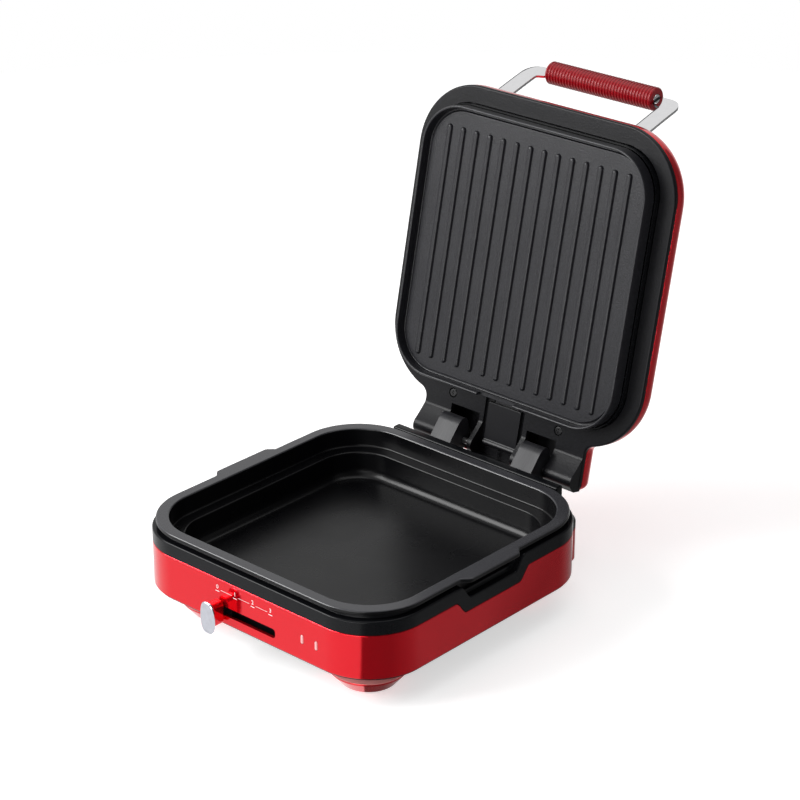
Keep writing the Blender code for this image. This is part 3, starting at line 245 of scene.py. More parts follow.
def turned(profile, middle, axis="Z", steps=64, ring=False):
    """A profile of (radius, height), turned about an axis. A radius of zero is one point on the axis."""
    made = bmesh.new()
    rows = []
    for radius, high in profile:
        if radius < 1e-6:
            rows.append([made.verts.new((0, 0, high))])
            continue
        turns = [2 * math.pi * step / steps for step in range(steps)]
        rows.append([made.verts.new((radius * math.cos(turn), radius * math.sin(turn), high)) for turn in turns])
    pairs = list(zip(rows, rows[1:]))
    if ring:
        pairs.append((rows[-1], rows[0]))
    for lower, upper in pairs:
        for here in range(steps):
            after = (here + 1) % steps
            corners = [lower[here % len(lower)], lower[after % len(lower)],
                       upper[after % len(upper)], upper[here % len(upper)]]
            corners = list(dict.fromkeys(corners))
            if len(corners) > 2:
                made.faces.new(corners)
    turn = {"X": Matrix.Rotation(math.pi / 2, 4, "Y"), "Y": Matrix.Rotation(-math.pi / 2, 4, "X"),
            "Z": Matrix.Identity(4)}[axis]
    bmesh.ops.transform(made, matrix=Matrix.Translation(middle) @ turn, verts=made.verts)
    return stock(made)


def rod(radius, start, end, middle, axis="Z", edge=0.3, steps=48):
    profile = soft([(0, start, 0), (radius, start, edge), (radius, end, edge), (0, end, 0)], closed=False)
    return turned(profile, middle, axis, steps)


# Changes to a piece

def real_mesh(piece):
    """The piece's mesh as it is seen, with its modifiers in it."""
    bpy.context.view_layer.update()
    seen = piece.evaluated_get(bpy.context.evaluated_depsgraph_get())
    return bpy.data.meshes.new_from_object(seen)


def ready(piece):
    """Makes a piece's modifiers part of its mesh."""
    mesh = real_mesh(piece)
    piece.modifiers.clear()
    piece.data = mesh
    return piece


def join(piece, tool, how):
    step = piece.modifiers.new(how, "BOOLEAN")
    step.operation = how
    step.solver = "EXACT"
    step.object = tool
    ready(piece)
    bpy.data.objects.remove(tool)


def cut(piece, *tools):
    for tool in tools:
        join(piece, tool, "DIFFERENCE")


def add(piece, *tools):
    for tool in tools:
        join(piece, tool, "UNION")


def bevel(piece, width, segments=2, angle=35):
    step = piece.modifiers.new("soft edges", "BEVEL")
    step.width = width
    step.segments = segments
    step.limit_method = "ANGLE"
    step.angle_limit = math.radians(angle)
    step.use_clamp_overlap = True
    return ready(piece)


def warped(piece, change):
    for vertex in piece.data.vertices:
        vertex.co = change(vertex.co)
    return piece


def dress(piece, name, body, paint, space=base_space, sharp=38):
    """Moves a piece into the row frame, gives it its finish and hangs it on its body.

    A piece whose name is a CAD node's name with _skin after it stands for that node.
    """
    piece.name = name
    mesh = piece.data
    mesh.name = name
    for vertex in mesh.vertices:
        vertex.co = space(vertex.co)
    mesh.materials.clear()
    mesh.materials.append(paint)
    for face in mesh.polygons:
        face.material_index = 0
    mesh.shade_smooth()
    mesh.set_sharp_from_angle(angle=math.radians(sharp))
    step = piece.modifiers.new("even shading", "WEIGHTED_NORMAL")
    step.keep_sharp = True
    ready(piece)
    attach(piece, body)
    if name.endswith("_skin"):
        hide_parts(name.removesuffix("_skin"))
    return piece


def repaint(piece, paint, wanted):
    """Gives the faces for which wanted(face) is true another finish, once the piece is in the row frame."""
    piece.data.materials.append(paint)
    for face in piece.data.polygons:
        if wanted(face):
            face.material_index = 1


# Materials

NOISE_LOW, NOISE_HIGH = 0.3, 0.7


def material(name, colour, roughness, metallic=0.0):
    made = bpy.data.materials.new(name)
    made.use_nodes = True
    shader = made.node_tree.nodes["Principled BSDF"]
    shader.inputs["Base Color"].default_value = (*colour, 1)
    shader.inputs["Roughness"].default_value = roughness
    shader.inputs["Metallic"].default_value = metallic
    made.diffuse_color = (*colour, 1)
    return made, shader


def noise(made, scale, detail=2.0, stretch=(1, 1, 1)):
    """A noise over the piece, in its own coordinates."""
    tree = made.node_tree
    where = tree.nodes.new("ShaderNodeTexCoord")
    sized = tree.nodes.new("ShaderNodeMapping")
    sized.inputs["Scale"].default_value = stretch
    drawn = tree.nodes.new("ShaderNodeTexNoise")
    drawn.inputs["Scale"].default_value = scale
    drawn.inputs["Detail"].default_value = detail
    tree.links.new(where.outputs["Object"], sized.inputs["Vector"])
    tree.links.new(sized.outputs["Vector"], drawn.inputs["Vector"])
    return drawn.outputs["Fac"]


def ranged(made, value, low, high):
    """A noise spread over a new range."""
    node = made.node_tree.nodes.new("ShaderNodeMapRange")
    node.inputs["From Min"].default_value = NOISE_LOW
    node.inputs["From Max"].default_value = NOISE_HIGH
    node.inputs["To Min"].default_value = low
    node.inputs["To Max"].default_value = high
    made.node_tree.links.new(value, node.inputs["Value"])
    return node.outputs["Result"]


def blended(made, value, first, second):
    """A colour between two, by a noise."""
    tree = made.node_tree
    ramp = tree.nodes.new("ShaderNodeValToRGB")
    for element, place, colour in zip(ramp.color_ramp.elements, (NOISE_LOW, NOISE_HIGH), (first, second)):
        element.position = place
        element.color = (*colour, 1)
    tree.links.new(value, ramp.inputs["Fac"])
    return ramp.outputs["Color"]


def bumped(made, shader, height, strength, depth, into="Normal"):
    bump = made.node_tree.nodes.new("ShaderNodeBump")
    bump.inputs["Strength"].default_value = strength
    bump.inputs["Distance"].default_value = depth
    made.node_tree.links.new(height, bump.inputs["Height"])
    made.node_tree.links.new(bump.outputs["Normal"], shader.inputs[into])


def scaled(colour, factor):
    return tuple(min(part * factor, 1.0) for part in colour)


def grained(name, colour, roughness, spread, grain, strength, depth, metallic=0.0, tone=0.12, stretch=(1, 1, 1),
            shine=0.5):
    """A surface with a fine moulded grain: its colour, roughness and height all vary with it."""
    made, shader = material(name, colour, roughness, metallic)
    fine = noise(made, grain, 3.0, stretch)
    wide = noise(made, grain / 40, 2.0, stretch)
    tree = made.node_tree
    toned = blended(made, fine, scaled(colour, 1 - tone), scaled(colour, 1 + tone))
    tree.links.new(toned, shader.inputs["Base Color"])
    tree.links.new(ranged(made, wide, roughness - spread, roughness + spread), shader.inputs["Roughness"])
    bumped(made, shader, fine, strength, depth)
    shader.inputs["Specular IOR Level"].default_value = shine
    return made


def glossed(name, colour, roughness, metallic, coat):
    """A lacquered surface: a coloured base under a smooth clear coat with a slight ripple."""
    made, shader = material(name, colour, roughness, metallic)
    ripple = noise(made, scale=60, detail=1.0)
    flake = noise(made, scale=2600, detail=1.0)
    tree = made.node_tree
    toned = blended(made, flake, scaled(colour, 0.95), scaled(colour, 1.04))
    tree.links.new(toned, shader.inputs["Base Color"])
    tree.links.new(ranged(made, ripple, roughness - 0.01, roughness + 0.015), shader.inputs["Roughness"])
    shader.inputs["Coat Weight"].default_value = coat
    shader.inputs["Coat Roughness"].default_value = 0.03
    shader.inputs["Specular IOR Level"].default_value = 0.1
    bumped(made, shader, ripple, 0.02, 0.0002, "Coat Normal")
    return made


# For grained: name, colour, roughness, its spread, the grain's scale, the bump's strength and its depth in metres
RED = glossed("red_lacquer", (0.8, 0.005, 0.016), roughness=0.1, metallic=0.8, coat=0.55)
TRIM = grained("trim_black", (0.005, 0.0053, 0.0064), 0.2, 0.02, 900, 0.04, 0.00004, shine=0.18)
FRAME = grained("frame_black", (0.005, 0.005, 0.0064), 0.36, 0.03, 820, 0.45, 0.00025, tone=0.5, shine=0.22)
LATCH = grained("tongue_black", (0.006, 0.006, 0.0075), 0.32, 0.02, 700, 0.06, 0.00005, shine=0.3)
COAT = grained("non_stick_coat", (0.0125, 0.0125, 0.0155), 0.32, 0.03, 820, 0.5, 0.0003, tone=0.5, shine=0.42)
PAN = grained("pan_coat", (0.0018, 0.0018, 0.0024), 0.28, 0.03, 900, 0.1, 0.00008, tone=0.15, shine=0.3)
# A lighter grey than the pan's coat, for the top of its rim: a painted sheen that stands for the light on it
PAINTED_SHEEN_GREY = grained("pan_rim_painted_sheen", (0.042, 0.042, 0.047), 0.24, 0.03, 900, 0.1, 0.00008, tone=0.1, shine=0.6)
SCREW = grained("black_screw", (0.012, 0.012, 0.013), 0.25, 0.05, 1400, 0.15, 0.00006)
# A paler red for the feet's upward slopes: a painted highlight, in place of light that the lamps do not give there
PAINTED_HIGHLIGHT_RED = grained("foot_bevel_red", (0.95, 0.34, 0.33), 0.5, 0.05, 2400, 0.1, 0.00006, tone=0.06)
ARM = grained("arm_grey", (0.015, 0.015, 0.0175), 0.36, 0.05, 1500, 0.3, 0.00012, tone=0.45,
              stretch=(1, 0.06, 0.06), shine=0.35)
CAP = grained("cap_aluminium", (0.62, 0.63, 0.69), 0.16, 0.03, 300, 0.03, 0.00005, metallic=1.0, tone=0.04)
# A dark metal for one edge of each chrome strap: a painted dark reflection
PAINTED_DARK_EDGE = grained("strap_edge", (0.06, 0.06, 0.065), 0.2, 0.03, 900, 0.05, 0.00005, metallic=1.0, tone=0.1)
CHROME = grained("chrome", (0.92, 0.92, 0.93), 0.07, 0.03, 300, 0.02, 0.00005, metallic=1.0, tone=0.02)
STEEL = grained("steel", (0.55, 0.55, 0.56), 0.32, 0.06, 1400, 0.15, 0.00006, metallic=1.0, tone=0.1)
HEATED = grained("heat_tinted", (0.25, 0.22, 0.2), 0.5, 0.08, 1200, 0.3, 0.0001, metallic=1.0, tone=0.3)
GRIP_RED = grained("grip_red", (0.3, 0.003, 0.009), 0.3, 0.05, 2400, 0.1, 0.00006, tone=0.08)
LENS = grained("lamp_lens", (0.9, 0.42, 0.42), 0.2, 0.04, 900, 0.05, 0.00005, tone=0.08)
PRINT = grained("white_print", (0.82, 0.8, 0.8), 0.5, 0.05, 2600, 0.05, 0.00003, tone=0.06)
CERAMIC = grained("cream_ceramic", (0.7, 0.66, 0.58), 0.5, 0.06, 1500, 0.1, 0.00008, tone=0.08)

# The CAD nodes that no piece stands for, and their finishes
for paint, names in (
    (STEEL, ("foot_screw_front_left", "foot_screw_front_right", "foot_screw_rear_left", "foot_screw_rear_right",
             "hinge_pin_left", "hinge_pin_right", "reflector_tray", "lower_clip_left",
             "lower_clip_right", "upper_clip_left", "upper_clip_right")),
    (HEATED, ("lower_heater", "upper_heater")),
    # The upper reflector has the black trim finish: painted shade, so that the gap round the grill plate, where it
    # shows through, stays dark
    (TRIM, ("latch_spring", "upper_reflector", "lever_carriage", "heat_control", "lamp_holder", "pan_thermostat",
            "plate_thermostat")),
    (CERAMIC, ("terminal_block",)),
):
    for name in names:
        for slot in frame["nodes"][name].material_slots:
            slot.material = paint

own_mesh(frame["nodes"]["latch_spring"])


# Base

def base_outline(inset, side=SIDE_SPOTS):
    return rounded(BODY_HALF - inset, BODY_HALF - inset, BASE_CORNER - inset, side)


def housing_dip(y):
    return 10.7 * ease(y - DIP_MIDDLE, 29.3, 12)


def trim_dip(y):
    return 11 * ease(y - DIP_MIDDLE, 24.6, 11)


def base_shell():
    profile = soft([(0, 0, 0.9), (0, HOUSING_TOP, 0.9), (WALL, HOUSING_TOP, 0.2), (WALL, 0, 0.2)])
    shell = swept(base_outline, profile, ring=True)
    unmoved_below, blend = 5, 25

    def change(co):
        share = min(max((co.z - unmoved_below) / blend, 0), 1)
        return Vector((co.x, co.y, co.z - share * housing_dip(co.y)))

    warped(shell, change)
    slit = through(lambda inset: front_outline(0, SLIT_Z, 29.5, 3.75, 2.6), FRONT_CUT)
    cut(shell, slit)
    for _, x in LAMPS:
        window = through(lambda inset: front_outline(x, LAMP_Z, 1.55, 3.8, 1.5), FRONT_CUT)
        cut(shell, window)
    dress(shell, "base_shell_skin", "base", RED)


def base_trim():
    lip_top, lip_inset, skirt_low = 49.2, 8.15, 30
    profile = soft([
        (0, HOUSING_TOP + 0.3, 0.25), (0, TRIM_TOP, 1.4), (5.6, TRIM_TOP, 0.5), (6.2, lip_top, 0.4),
        (lip_inset, lip_top, 0.4), (lip_inset, skirt_low, 0.3), (lip_inset - 2, skirt_low, 0.3),
        (lip_inset - 2, TRIM_TOP - 2, 0.2), (WALL, TRIM_TOP - 2, 0.2), (WALL, HOUSING_TOP + 0.3, 0.1),
    ])

    def change(co):
        """The top follows the trim's dip, the lower edge the housing's, and the skirt inside stays."""
        if co.z > HOUSING_TOP + 5:
            return Vector((co.x, co.y, co.z - trim_dip(co.y)))
        if co.z > HOUSING_TOP:
            return Vector((co.x, co.y, co.z - housing_dip(co.y)))
        return co.copy()

    trim = swept(base_outline, profile, ring=True)
    dress(warped(trim, change), "base_trim_skin", "base", TRIM)


def base_bottom():
    profile = soft([
        (3, -1.2, 0), (1.2, -1.2, 0.5), (1.2, -0.3, 0.2), (2.8, -0.3, 0.1), (2.8, 3.5, 0.2), (4.8, 3.5, 0.2),
        (4.8, 0.8, 0.2), (12, 0.8, 0),
    ], closed=False)
    bottom = swept(lambda inset: base_outline(inset, ()), profile)
    for _, x, y in FEET:
        cut(bottom, rod(FOOT_SCREW_HOLE, -4, 3, (x, y, 0)))
    dress(bottom, "base_bottom_skin", "base", TRIM)


def feet():
    top, recess_top = -1.5, FLOOR + 3.1
    neck, wide, recess = 16, 29.4, 4.8
    profile = soft([
        (FOOT_SCREW_HOLE, top, 0), (neck, top, 0.3), (neck, -9.7, 2.5), (wide, -15.9, 1.3), (wide - 0.3, -17.2, 0.6),
        (20.8, FLOOR, 0.9), (recess, FLOOR, 0.3), (recess, recess_top, 0.1), (FOOT_SCREW_HOLE, recess_top, 0.1),
    ])
    for name, x, y in FEET:
        foot = turned(profile, (x, y, 0), steps=96, ring=True)
        dress(foot, f"foot_{name}_skin", "base", RED)
        # The upward-facing slope of each foot gets the paler red: a painted highlight on a part that lies in shade
        repaint(foot, PAINTED_HIGHLIGHT_RED, lambda face: face.center.z > FOOT_HIGHLIGHT_LOW and face.normal.z > 0.3)


def rear_outline(inset):
    half_x, half_y, corner, middle_y = 104, 37, 14, 97
    outline = rounded(half_x - inset, half_y - inset, corner - inset, steps=16)
    return [(x, y + middle_y) for x, y in outline]


def rear_block():
    """The red housing behind the base and its black cap, with the ridge that stands behind the pan's rim."""
    seam, cap_low, cap_top = 25, 25.3, 34

    def base_prism():
        return loft([level(rounded(125.3, 125.3, 46.8), high) for high in (-60, 60)])

    lower = soft([(8, -1.2, 0), (0, -1.2, 0.8), (0, seam, 0.5), (WALL, seam, 0.2), (WALL, 1.3, 0)], closed=False)
    housing = swept(rear_outline, lower)
    cut(housing, base_prism(), rod(6.8, -6, 6, GLAND, "Y"))
    dress(housing, "rear_housing_skin", "base", RED)
    upper = soft([(WALL, 31.5, 0), (WALL, cap_low, 0.2), (0, cap_low, 0.4), (0, cap_top, 4), (9, cap_top, 0)],
                 closed=False, steps=8)
    cap = swept(rear_outline, upper)
    cut(cap, base_prism())
    ridge = box((168, 7.6, 21.9), (0, 129.6, 41.95), 1.6, 4)
    add(cap, ridge)
    dress(cap, "rear_cap_skin", "base", TRIM)


def cord_gland():
    bore, neck, flange = 3.6, 6.5, 8.1
    inside, outside = -2.8, 6
    profile = soft([
        (bore, outside, 0.6), (4.9, outside, 0.8), (neck, 1.6, 0.3), (flange, 1.6, 0.4), (flange, 0.3, 0.1),
        (neck, 0.3, 0.1), (neck, inside, 0.1), (bore, inside, 0.1),
    ])
    gland = turned(profile, GLAND, "Y", ring=True)
    dress(gland, "cord_gland_skin", "base", TRIM)


def deep_pan():
    side = [float(step) for step in range(-50, 51)]
    under, floor_top, step_under, step_top, rim_under = 13.5, 16, 35.9, 37.4, 49.5
    rows = soft([
        (75, under, 5, 0), (105.5, under, 35.5, 8), (105.5, step_under, 35.5, 1), (116.25, step_under, 44.5, 1),
        (116.25, rim_under, 44.5, 1), (124, rim_under, 50, 1.0), (124, PAN_RIM_TOP, 50, 1.5),
        (114.75, PAN_RIM_TOP, 43, 1.6), (114.75, step_top, 43, 1.5), (104, step_top, 34, 1.2),
        (104, floor_top, 34, 8), (75, floor_top, 5, 0),
    ], closed=False, steps=6)
    pan = loft([level(rounded(half, half, corner, side), high) for half, high, corner in rows])
    tab_root, tab_blend, tab_reach = 119, 3, 5.5

    def change(co):
        """Pulls the rim's outer edge out into a tab on each side."""
        out = abs(co.x)
        if co.z > 49 and out > tab_root and abs(co.y) < 60:
            share = min((out - tab_root) / tab_blend, 1)
            wider = tab_reach * share * ease(co.y, 25.2, 8)
            return Vector((co.x + math.copysign(wider, co.x), co.y, co.z))
        return co.copy()

    skin = dress(warped(pan, change), "deep_pan_skin", "base", PAN)
    # The top faces of the rim are painted lighter: a painted sheen
    repaint(skin, PAINTED_SHEEN_GREY, lambda face: face.center.z > PAN_SHEEN_LOW)


def hinge_arms():
    foot = 34.3 - HINGE.z
    outline = soft([
        (-25.58, foot, 0.5), (-17.08, foot, 0.8), (-11.58, foot + 4, 1), (-4.5, -6.4, 3), (2, -7.2, 3), (5.9, -5, 4),
        (5.9, 12, 3), (4, 18, 4), (-1, 19.4, 4), (-5.5, 17.2, 4), (-20.1, 0.3, 4), (-25.58, -7, 3),
    ], steps=6)
    for hand, side in HANDS:
        start, end = sorted(side * x for x in ARM_SIDES)
        arm = slab(about_hinge(outline), start, end, 0.7)
        pin_hole = rod(HINGE_PIN_HOLE, start - 5, end + 5, (0, HINGE.y, HINGE.z), "X")
        cut(arm, pin_hole)
        dress(arm, f"hinge_arm_{hand}_skin", "base", ARM)


# Lid

def lid_outline(inset):
    """The lid from above: a rounded square that fillets run from into a neck at the back."""
    middle = BODY_HALF - LID_CORNER
    neck_half, neck_start, neck_corner, neck_corner_least = 81, 131, 6, 0.8
    reach, offset = neck_start - middle, neck_half - middle
    fillet = (reach * reach + offset * offset - LID_CORNER * LID_CORNER) / (2 * (LID_CORNER - offset))
    bend = math.degrees(math.atan2(reach, offset + fillet))
    half = arc(middle, -middle, LID_CORNER - inset, -90, 0, CORNER_STEPS)
    half += arc(middle, middle, LID_CORNER - inset, 0, bend, CORNER_STEPS)
    half += arc(neck_half + fillet, neck_start, fillet + inset, 180 + bend, 180, 14)
    shrunk = min(inset, neck_corner - neck_corner_least)
    corner = arc(neck_half - neck_corner, NECK_BACK - neck_corner, neck_corner - shrunk, 0, 90, 8)
    half += [(x - (inset - shrunk), y - (inset - shrunk)) for x, y in corner]
    return half + [(-x, y) for x, y in reversed(half)]


def lid_shell():
    shoulder_width = SHELL_TOP - SHOULDER_LOW

    def shoulder(width, inset, steps=12):
        turns = [math.pi / 2 * step / steps for step in range(steps + 1)]
        return [level(lid_outline(inset + width * (1 - math.cos(turn))), SHOULDER_LOW + width * math.sin(turn))
                for turn in turns]

    def crown(high, rise=1.8):
        rim = lid_outline(shoulder_width)
        return [[(x * share, y * share, high + rise * (1 - share * share)) for x, y in rim]
                for share in (0.97, 0.92, 0.85, 0.75, 0.62, 0.48, 0.34, 0.2)]

    edge = soft([(0, SHOULDER_LOW, 0), (0, SHELL_LOW, 0.5), (WALL, SHELL_LOW, 0.2), (WALL, SHOULDER_LOW, 0)],
                closed=False)[1:-1]
    rows = crown(SHELL_TOP)[::-1] + shoulder(shoulder_width, 0)[::-1]
    rows += [level(lid_outline(inset), high) for inset, high in edge]
    rows += shoulder(shoulder_width - WALL, WALL) + crown(SHELL_TOP - WALL)
    shell = loft(rows)
    for _, side in HANDS:
        strap_slot = box((15.6, 4.6, 12), (side * 67.5, -117.6, SHELL_TOP))
        cut(shell, strap_slot)
    dress(shell, "lid_shell_skin", "lid", RED, space=lid_space)
    # The faces that look to the middle of the lid are its inside, which is black.
    heart = lid_space((0, 0, 60))
    repaint(shell, FRAME, lambda face: face.normal.dot(face.center - heart) < 0)


def lid_frame():
    """The black frame, with the hinge's barrel, the slots for the arms and the latch's bay."""
    profile = soft([(8, LID_FACE, 0), (0, LID_FACE, 1.5), (0, 58.2, 0.3), (8, 58.2, 0)], closed=False, steps=6)
    body = swept(lid_outline, profile)
    rear, face = NECK_BACK - 0.9 - HINGE.y, LID_FACE - HINGE.z
    outline = soft([
        (-19.6, face + 3, 0), (-19.6, face - 0.05, 0), (-17.1, face - 0.05, 4), (-10.5, 1.6, 4), (-5.6, -2.2, 3),
        (-2, -5.25, 3), (3.5, -5.25, 3), (6.5, -2, 3), (9.4, 0.5, 3), (rear, face, 0), (rear, face + 3.1, 0),
    ], steps=6)
    barrel_half, opening_half, opening_corner = 80.4, PLATE_HALF + 2, 37
    add(body, slab(about_hinge(outline), -barrel_half, barrel_half))
    plate_opening = rounded(opening_half, opening_half, opening_corner)
    cut(body, loft([level(plate_opening, high) for high in (40, 80)]))
    for _, side in HANDS:
        arm_slot = box((29.3, 43.4, 77), (side * 38.65, 149.7, 48.25))
        cut(body, arm_slot)
    latch_bay = box((40, 50.5, 56.8), (0, 134, 28.4))
    lug_opening = box((25.6, 21.2, 77), (0, PLATE_HALF, 48.25))
    cut(body, latch_bay, lug_opening)
    bevel(body, 0.45, 2, 50)
    across, back = FRAME_SCREW
    for _, side in HANDS:
        pin_hole = rod(HINGE_PIN_HOLE, -18.6, 18.6, (side * 38.7, HINGE.y, HINGE.z), "X", 0)
        screw_seat = rod(4, -1.9, 3, (side * across, back, LID_FACE), "Z", 0)
        screw_hole = rod(2.1, -1, 9, (side * across, back, LID_FACE), "Z", 0)
        cut(body, pin_hole, screw_seat, screw_hole)
    dress(body, "lid_frame_skin", "lid", FRAME, space=lid_space)


def frame_screws():
    seat = LID_FACE + 1.9 - 0.3
    top, tip = seat - 1.5, seat + 9
    shank, head = 1.8, 3.4
    across, back = FRAME_SCREW
    profile = soft([(0, tip, 0), (shank, tip, 0.3), (shank, seat, 0), (head, seat, 0.2), (head, top, 0.7),
                    (0, top, 0)], closed=False)
    for hand, side in HANDS:
        screw = turned(profile, (side * across, back, 0), steps=40)
        for cross_slot in ((3.6, 0.8, 1.6), (0.8, 3.6, 1.6)):
            cut(screw, box(cross_slot, (side * across, back, top)))
        dress(screw, f"frame_screw_{hand}_skin", "lid", SCREW, space=lid_space)


def grill_plate():
    back, lip_low, web_top, web_low = 50, 38.2, 48.5, 45
    profile = soft([
        (20, web_top, 0), (4.3, web_top, 1), (3.5, back, 0.3), (0, back, 0.6), (0, lip_low, 0.9), (2, lip_low, 0.9),
        (2.3, 46.8, 0.7), (4.3, 46.8, 0.5), (4.9, web_low, 0.5), (20, web_low, 0),
    ], closed=False)
    corner = 36
    plate = swept(lambda inset: rounded(PLATE_HALF - inset, PLATE_HALF - inset, corner - inset), profile)
    lug = slab([(106.2, 47), (108.5, 47), (108.5, 56.8), (118.2, 56.8), (118.2, 59.8), (106.2, 59.8)], -12, 12)
    add(plate, lug, ribs())
    latch_notch = box((36.6, 8, 9.6), (0, PLATE_HALF, lip_low))
    cut(plate, latch_notch)
    dress(plate, "grill_plate_skin", "lid", COAT, space=lid_space)


def ribs():
    """Fourteen round-topped ribs along y, as one mesh."""
    count, pitch, rib_half, straight_half, middle_y = 14, 13.5, 2.6, 91.5, 1.6
    profile = soft([(0, 45.8, 0), (0.25, 44.4, 0.5), (1.0, 43.2, 0.9), (2.45, 42.9, 0)], closed=False, steps=6)
    made = bmesh.new()
    for index in range(count):
        x = (index - (count - 1) / 2) * pitch
        rings = []
        for inset, high in profile:
            half = rib_half - inset
            outline = arc(0, straight_half, half, 0, 180, 14) + arc(0, -straight_half, half, 180, 360, 14)
            rings.append([made.verts.new((x + u, middle_y + v, high)) for u, v in outline])
        wrap(made, rings)
    return stock(made)


def plate_latch():
    outline = soft([
        (115.7, 53.9, 0.7), (146.4, 53.9, 0.6), (147.6, 52.8, 0.8), (149.4, 52.3, 1), (151.2, 53.2, 1),
        (151.2, 56.5, 0.3), (115.7, 56.5, 0.3),
    ])
    half = 16.2
    latch = slab(outline, -half, half, 0.35)
    dress(latch, "plate_latch_skin", "latch", LATCH, space=lid_space)


# Handle

def strap_path(steps):
    """The strap from the side, as (y, z): a cubic curve from the shell up to the grip."""
    start, bend, knee, end = map(Vector, ((-116.5, 73.5), (-118.7, 79.2), (-128.7, 96), (-139.6, 120.5)))
    spots = []
    for step in range(steps + 1):
        share = step / steps
        spots.append(start * (1 - share) ** 3 + bend * 3 * share * (1 - share) ** 2
                     + knee * 3 * share ** 2 * (1 - share) + end * share ** 3)
    return spots


def strap_rows(path):
    """The strap's inner and outer x at each spot. It turns in at its top, towards the grip."""
    inner, outer, turned_in = 60, 75, 7.7
    outer_corner, arm_high, inner_corner = 12, 9, 3
    top = path[-1].y
    rows = []
    for spot in path:
        below = top - spot.y
        far, near = outer, inner
        if below < outer_corner:
            far -= outer_corner - math.sqrt(outer_corner ** 2 - (outer_corner - below) ** 2)
        if below < arm_high:
            near -= turned_in
        elif below < arm_high + inner_corner:
            near -= turned_in * math.sqrt(1 - ((below - arm_high) / inner_corner) ** 2)
        rows.append((near, far, spot))
    return rows


def handle_straps():
    rows = strap_rows(strap_path(64))
    shares = (0, 0.07, 0.25, 0.5, 0.75, 0.93, 1)
    strips, thickness = len(shares) - 1, 2.2
    for hand, side in HANDS:
        made = bmesh.new()
        grid = [[made.verts.new((side * (inner + (outer - inner) * share), spot.x, spot.y)) for share in shares]
                for inner, outer, spot in rows]
        # Each strap's left edge strip is marked for the dark metal, a painted dark reflection along that edge
        left_edge = 0 if side > 0 else strips - 1
        for lower, upper in zip(grid, grid[1:]):
            for here in range(strips):
                face = made.faces.new((lower[here], lower[here + 1], upper[here + 1], upper[here]))
                face.material_index = int(here == left_edge)
        strap = stock(made)
        thick = strap.modifiers.new("thickness", "SOLIDIFY")
        thick.thickness = thickness
        thick.offset = 0
        thick.use_even_offset = True
        ready(strap)
        bevel(strap, 0.7, 3, 50)
        painted_dark_faces = {face.index for face in strap.data.polygons if face.material_index}
        dress(strap, f"handle_strap_{hand}_skin", "lid", CHROME, space=lid_space)
        repaint(strap, PAINTED_DARK_EDGE, lambda face: face.index in painted_dark_faces)


def handle_grip():
    ridges, length = 36, 103
    end, pitch = length / 2, length / ridges
    wave = ((0.04, 8.4), (0.18, 8.7), (0.32, 9.1), (0.5, 9.25), (0.68, 9.1), (0.82, 8.7), (0.96, 8.4))
    outer = [(radius, end - ridge * pitch - share * pitch) for ridge in range(ridges) for share, radius in wave]
    bore, rim, shoulder = 4.3, 7.4, 8.2
    profile = [(bore, end), (rim, end), (shoulder, end - 0.2)] + outer
    profile += [(shoulder, 0.2 - end), (rim, -end), (bore, -end)]
    grip = turned(profile, GRIP, "X", steps=72, ring=True)
    dress(grip, "handle_grip_skin", "lid", GRIP_RED, space=lid_space, sharp=60)
    bar = rod(4, -52, 52, GRIP, "X", 0.8)
    dress(bar, "handle_rod_skin", "lid", CHROME, space=lid_space)


# Lever, lamps and marks

def lever():
    path = soft([(0.6, -127, 0), (0, -127.6, 0.3), (0, -136.7, 0.4), (0.8, -137.5, 0)], closed=False)
    knob = through(lambda inset: front_outline(LEVER_X, SLIT_Z, 4.8 - inset, 9.3 - inset, 3.4 - inset), path)
    dress(knob, "lever_knob_skin", "lever", RED)

    def oval(inset, steps=72, power=0.72, half_x=7, half_z=12.8, middle_z=9.6):
        """A power below 1 makes the oval fuller than an ellipse."""
        turns = [2 * math.pi * step / steps for step in range(steps)]
        full = [[math.copysign(abs(part) ** power, part) for part in (math.cos(turn), math.sin(turn))]
                for turn in turns]
        return [((half_x - inset) * u + LEVER_X, (half_z - inset) * w + middle_z) for u, w in full]

    path = soft([
        (0.8, -137.8, 0), (0, -138.1, 0.25), (0, -139.3, 0.4), (1.1, -140, 0.4), (2.0, -139.7, 0.3),
        (2.4, -139.5, 0.3), (5.5, -139.7, 0),
    ], closed=False)
    dress(through(oval, path), "lever_cap_skin", "lever", CAP)


def lamps():
    path = soft([(0.2, -120.6, 0), (0, -121, 0.2), (0, -125.1, 0.3), (0.6, -125.6, 0.3), (0.9, -125.6, 0)],
                closed=False)
    for hand, x in LAMPS:
        lens = through(lambda inset: front_outline(x, LAMP_Z, 1.25 - inset, 3.5 - inset, 1.2 - inset), path)
        dress(lens, f"lamp_{hand}_skin", "base", LENS)


def number(text):
    """A number as a mesh, flat on x and y."""
    words = bpy.data.curves.new("number", "FONT")
    words.body = text
    words.size = 4.6
    words.align_x = "CENTER"
    words.align_y = "CENTER"
    words.extrude = 0.05
    drawn = placed("number", words)
    mesh = real_mesh(drawn)
    bpy.data.objects.remove(drawn)
    return placed("number", mesh)


